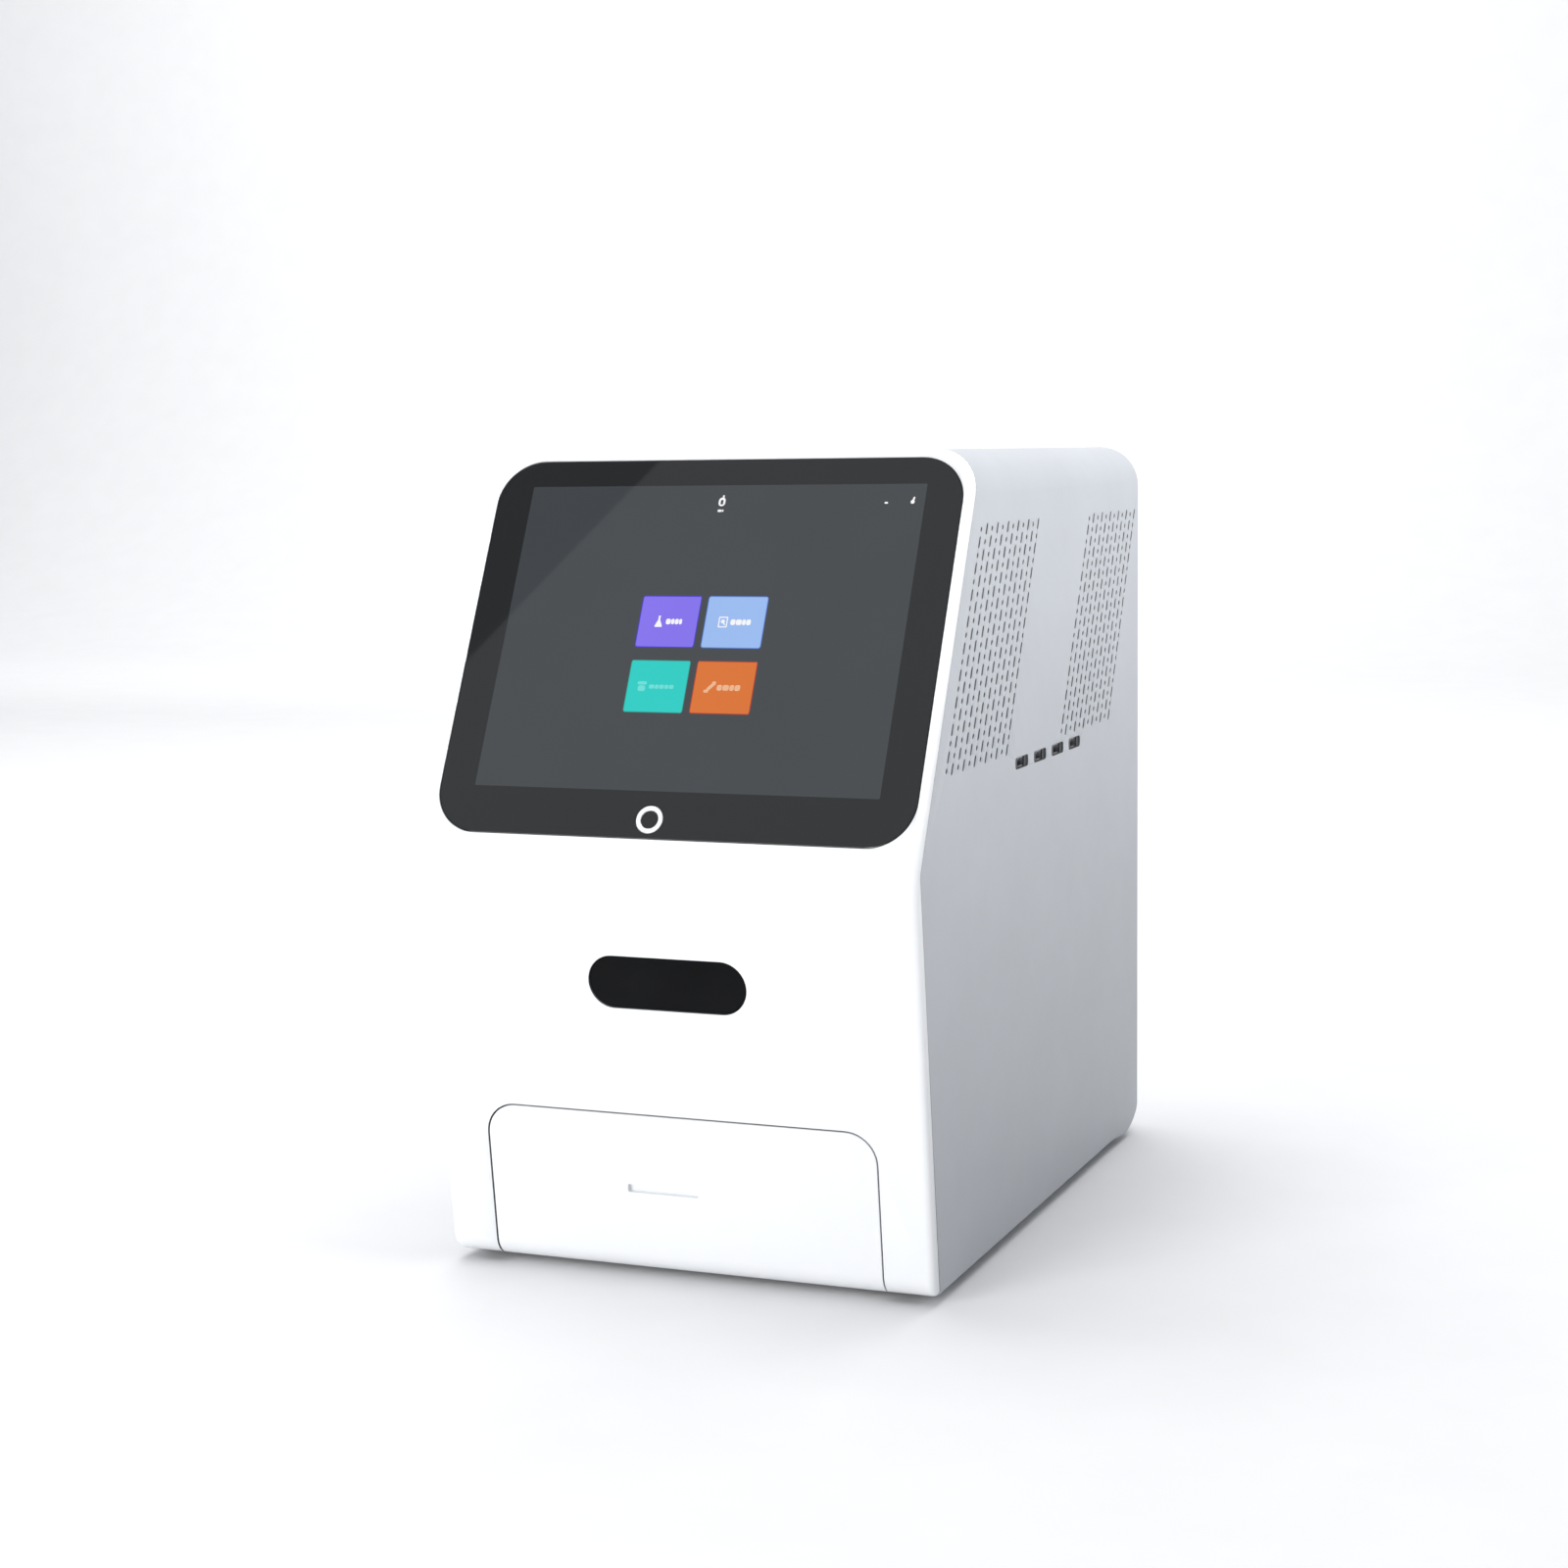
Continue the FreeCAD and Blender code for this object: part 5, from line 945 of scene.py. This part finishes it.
class GEL_OT_display(bpy.types.Operator):
    """Lay the touch glass, its lit image, the four menu tiles and their marks"""
    bl_idname = "gel.display"
    bl_label = "Touch display"

    def execute(self, context):
        d = context.scene.gel_display
        form = Form()
        middle = d.glass_start + d.glass_length / 2
        hole = circle(d.button_offset, d.button_rise, d.button_radius + d.gap)
        thick, chamfer = d.glass_thick, 0.0004

        def outline(offset):
            return rounded(0, middle, d.glass_width + 2 * offset, d.glass_length + 2 * offset,
                           d.glass_corner + offset, 20)
        levels = [(0, -thick), (0, -chamfer), (-0.3 * chamfer, -0.3 * chamfer), (-chamfer, 0)]
        rim_loops = np.stack([form.screen(outline(offset), level) for offset, level in levels])
        well = np.stack([form.screen(hole, level) for level in (0, -thick)])
        parts = [sheet(rim_loops, wrap=True), sheet(well, wrap=True),
                 fill(outline(-chamfer), [hole], lambda flat: form.screen(flat, 0)),
                 fill(outline(0), [hole], lambda flat: form.screen(flat, -thick))]
        add_piece("touch_glass", parts, "root", MATERIALS["border"], ["screen_glass"])

        screen = rounded(0, d.image_centre, d.image_width, d.image_length, 0.0006, 3)
        art("lit_image", [screen], [], form.screen, IMAGE_LEVEL, "image")
        tiles = {"purple": (-1, d.upper_tiles), "blue": (1, d.upper_tiles),
                 "teal": (-1, d.lower_tiles), "orange": (1, d.lower_tiles)}
        for name, (sign, level) in tiles.items():
            place = sign * d.tile_across, level
            for part, trim, layer in (("_edge", 0, LINE_LEVEL), ("", d.tile_edge, TILE_LEVEL)):
                tile = rounded(*place, d.tile_width - 2 * trim, d.tile_length - 2 * trim, 0.0016 - trim, 6)
                art("tile_" + name + part, [tile], [], form.screen, layer, name + part)
        high, low, left, right = d.upper_tiles, d.lower_tiles, -d.tile_across, d.tile_across

        flask = np.array([[-0.7, 3.5], [0.9, 3.5], [0.6, 2.9], [0.6, 1.0], [2.3, -2.6], [2.1, -3.4],
                          [-2.1, -3.4], [-2.3, -2.6], [-0.6, 1.0], [-0.6, 2.9]]) / 1000
        page = rounded(right - 0.0071, high, 0.0056, 0.0066, 0.0006, 4)
        white = [flask + [left - 0.0059, high], circle(right - 0.0072, high + 0.0004, 0.0012, 20),
                 turned(rounded(0, 0, 0.0007, 0.0020, 0.0003, 3), right - 0.0063, high - 0.0010, 40)]
        white += words(left + 0.0035, high, 0.0100, 0.0034, (1.3, 0.9, 1.0, 0.8))
        white += words(right + 0.0037, high, 0.0124, 0.0034, (1.2, 1.4, 0.9, 1.1))
        art("marks_white", white, [], form.screen, MARK_LEVEL, "mark")
        inside = rounded(right - 0.0071, high, 0.0042, 0.0052, 0.0003, 4)
        art("mark_page", [page], [inside], form.screen, MARK_LEVEL, "mark")
        jar = [rounded(left - 0.0093, low + 0.0019, 0.0057, 0.0020, 0.0009, 4),
               rounded(left - 0.0093, low - 0.0013, 0.0046, 0.0034, 0.0012, 4)]
        jar += words(left + 0.0028, low - 0.0002, 0.0152, 0.0024, (1.2, 0.8, 1.1, 0.9, 1.0))
        art("marks_teal", jar, [], form.screen, MARK_LEVEL, "teal_mark")
        tool = [turned(rounded(0, 0, 0.0052, 0.0020, 0.0008, 4), right - 0.0080, low + 0.0002, 45),
                rounded(right - 0.0061, low + 0.0024, 0.0024, 0.0024, 0.0008, 4),
                rounded(right - 0.0103, low - 0.0023, 0.0030, 0.0018, 0.0007, 4)]
        tool += words(right + 0.0031, low - 0.0001, 0.0142, 0.0034, (1.0, 1.3, 0.9, 1.1))
        art("marks_orange", tool, [], form.screen, MARK_LEVEL, "orange_mark")

        # row of small signs at the top: power, signal, drop
        level = 0.2214
        ring = rounded(-0.0002, level - 0.0006, 0.0042, 0.0054, 0.0020, 8)
        core = rounded(-0.0002, level - 0.0008, 0.0016, 0.0030, 0.0007, 6)
        art("sign_power_ring", [ring], [core], form.screen, MARK_LEVEL, "mark")
        signs = [rounded(0.0003, level + 0.0026, 0.0011, 0.0020, 0.0004, 3),
                 rounded(0.1002, level - 0.0018, 0.0021, 0.0011, 0.0005, 4),
                 circle(0.1158, level - 0.0013, 0.0012, 16),
                 turned(rounded(0, 0, 0.0011, 0.0030, 0.0005, 4), 0.1162, level + 0.0003, -14)]
        signs += words(-0.0002, level - 0.0062, 0.0036, 0.0015, (1.4, 0.5))
        art("signs_top", signs, [], form.screen, MARK_LEVEL, "mark")
        return {"FINISHED"}


class GEL_OT_button(bpy.types.Operator):
    """Turn the power button: a dark cap on its stem, with a white ring set in its face"""
    bl_idname = "gel.button"
    bl_label = "Power button"

    def execute(self, context):
        d = context.scene.gel_display
        form = Form()
        wide, narrow, groove, stem = d.button_radius, d.ring_radius, 0.001, 0.0027
        x, y = d.button_offset, d.button_rise

        def turned_ring(radius):
            return circle(x, y, radius, 72)
        cap = rings(form.screen, turned_ring,
                    [(stem, -0.0115), (stem, -0.0032), (wide - 0.0002, -0.0032), (wide, -0.0030),
                     (wide, -groove), (narrow - 0.0001, -groove), (narrow - 0.0001, -0.0005),
                     (narrow - 0.0004, -0.0002)])
        add_piece("button_cap", [cap], "power_button", MATERIALS["border"], ["power_button"])
        section = [(wide - 0.0001, -groove + 0.00002), (wide - 0.0001, -0.0003), (wide - 0.0002, -0.0001),
                   (wide - 0.0005, 0.0), (narrow + 0.0005, 0.0), (narrow + 0.0002, -0.0001),
                   (narrow + 0.0001, -0.0003), (narrow + 0.0001, -groove + 0.00002)]
        loops = np.stack([form.screen(turned_ring(radius), level) for radius, level in section + section[:1]])
        add_piece("button_light_ring", [sheet(loops, wrap=True)], "power_button", MATERIALS["ring"],
                  ["button_ring"])
        return {"FINISHED"}


class GEL_OT_window(bpy.types.Operator):
    """Set the dark pane with its hidden flange in the window"""
    bl_idname = "gel.window"
    bl_label = "Viewing window"

    def execute(self, context):
        w, d = context.scene.gel_front, context.scene.gel_display
        form = Form()
        rise = -(form.nose_z - form.floor - w.window_level) / math.cos(form.lean)
        wide, tall = w.window_width - 2 * d.gap, w.window_height - 2 * d.gap

        def outline(offset):
            return rounded(0, rise, wide + 2 * offset, tall + 2 * offset, tall, 24)
        seat, flange, face = -0.0065, 0.0053, -w.window_recess
        pane = rings(form.panel, outline,
                     [(flange, seat - 0.002), (flange, seat), (0, seat), (0, face - 0.0005),
                      (-0.00015, face - 0.00015), (-0.0005, face)])
        add_piece("window_glass", [pane], "root", MATERIALS["window"], ["window_pane"])
        return {"FINISHED"}


# Metres, degrees and watts; the glass mirrors the edge of the second light
Softbox = namedtuple("Softbox", "place target width height roll spread power")
SOFTBOXES = {
    "key": Softbox((-0.9, -2.6, 0.7), (0, -0.2, 0.25), 1.2, 1.2, 0, 180, 40.0),
    "glare": Softbox((-1.0285, -2.1669, 2.380), (0.1631, -0.3566, 0.3057), 1.7, 1.0, -108.97, 180, 2.5),
    "top": Softbox((-0.5, 1.5, 3.2), (-0.5, 1.5, 0), 4.0, 4.0, 0, 180, 120.0),
    "side": Softbox((1.5, 0.05, 1.0), (0.15, 0.05, 0.50), 1.0, 0.2, 0, 28, 1.1),
    "backdrop": Softbox((-2.8, 2.4, 2.4), (-3.2, 5.5, 2.0), 3.5, 1.5, 0, 150, 44.0),
}


class GEL_OT_stage(bpy.types.Operator):
    """Set the floor, the studio light and the camera"""
    bl_idname = "gel.stage"
    bl_label = "Stage"

    def execute(self, context):
        g = context.scene.gel_stage
        # floor with a swept-up backdrop: a profile carried along x
        turn = np.linspace(0, math.pi / 2, 16)
        y = np.concatenate([[-g.floor_front], g.floor_back + g.bend * np.sin(turn), [g.floor_back + g.bend]])
        z = np.concatenate([[0.0], g.bend - g.bend * np.cos(turn), [g.wall]])
        floor = finish_mesh("studio_floor", [span((g.floor_side, -g.floor_side), y, z)], True)
        floor.shade_smooth()
        paper = painted("pale_paper", (0.90, 0.90, 0.905), 0.9, 200, 0.02, 0.01)
        floor.materials.append(paper)
        backdrop = bpy.data.objects.new("studio_floor", floor)
        context.scene.collection.objects.link(backdrop)

        world = bpy.data.worlds.new("studio")
        context.scene.world = world
        world.use_nodes = True
        ground = world.node_tree.nodes["Background"]
        ground.inputs["Color"].default_value = (0.93, 0.96, 1.0, 1)
        ground.inputs["Strength"].default_value = 0.42
        for name, light in SOFTBOXES.items():
            lamp = bpy.data.lights.new(name + "_softbox", "AREA")
            lamp.shape, lamp.size, lamp.size_y = "RECTANGLE", light.width, light.height
            lamp.energy, lamp.spread = light.power, math.radians(light.spread)
            box = bpy.data.objects.new(name + "_softbox", lamp)
            aim = (Vector(light.target) - Vector(light.place)).to_track_quat("-Z", "Y").to_matrix().to_4x4()
            roll = Matrix.Rotation(math.radians(light.roll), 4, "Z")
            box.matrix_world = Matrix.Translation(light.place) @ aim @ roll
            context.scene.collection.objects.link(box)

        data = bpy.data.cameras.new("photo_camera")
        data.lens, data.sensor_width, data.clip_end = g.lens, 36.0, 50.0
        forward = np.array([-math.sin(g.yaw) * math.cos(g.pitch), math.cos(g.yaw) * math.cos(g.pitch),
                            -math.sin(g.pitch)])
        level = np.array([math.cos(g.yaw), math.sin(g.yaw), 0])
        above = np.cross(level, forward)
        right = math.cos(g.roll) * level + math.sin(g.roll) * above
        up = -math.sin(g.roll) * level + math.cos(g.roll) * above
        camera = bpy.data.objects.new("photo_camera", data)
        camera.matrix_world = Matrix([[right[axis], up[axis], -forward[axis], g.place[axis]]
                                      for axis in range(3)] + [[0, 0, 0, 1]])
        context.scene.collection.objects.link(camera)
        context.scene.camera = camera
        context.scene.view_settings.view_transform = "Standard"
        return {"FINISHED"}


OPERATORS = (GEL_OT_finishes, GEL_OT_front, GEL_OT_cover, GEL_OT_drawer_front, GEL_OT_display,
             GEL_OT_button, GEL_OT_window, GEL_OT_stage)


class GEL_PT_panel(bpy.types.Panel):
    """Lists the steps that dress the frame"""
    bl_idname = "GEL_PT_panel"
    bl_label = "Gel imager"
    bl_space_type = "VIEW_3D"
    bl_region_type = "UI"
    bl_category = "Gel imager"

    def draw(self, context):
        for operator in OPERATORS:
            self.layout.operator(operator.bl_idname)


def register():
    for group in GROUPS.values():
        bpy.utils.register_class(group)
    for name, group in GROUPS.items():
        setattr(bpy.types.Scene, name, PointerProperty(type=group))
    for operator in OPERATORS + (GEL_PT_panel,):
        bpy.utils.register_class(operator)


def unregister():
    for operator in (GEL_PT_panel,) + OPERATORS[::-1]:
        bpy.utils.unregister_class(operator)
    for name, group in GROUPS.items():
        delattr(bpy.types.Scene, name)
        bpy.utils.unregister_class(group)


def main():
    register()
    bpy.ops.gel.finishes()
    bpy.ops.gel.front()
    bpy.ops.gel.cover()
    bpy.ops.gel.drawer_front()
    bpy.ops.gel.display()
    bpy.ops.gel.button()
    bpy.ops.gel.window()
    bpy.ops.gel.stage()


if __name__ == "__main__":
    main()
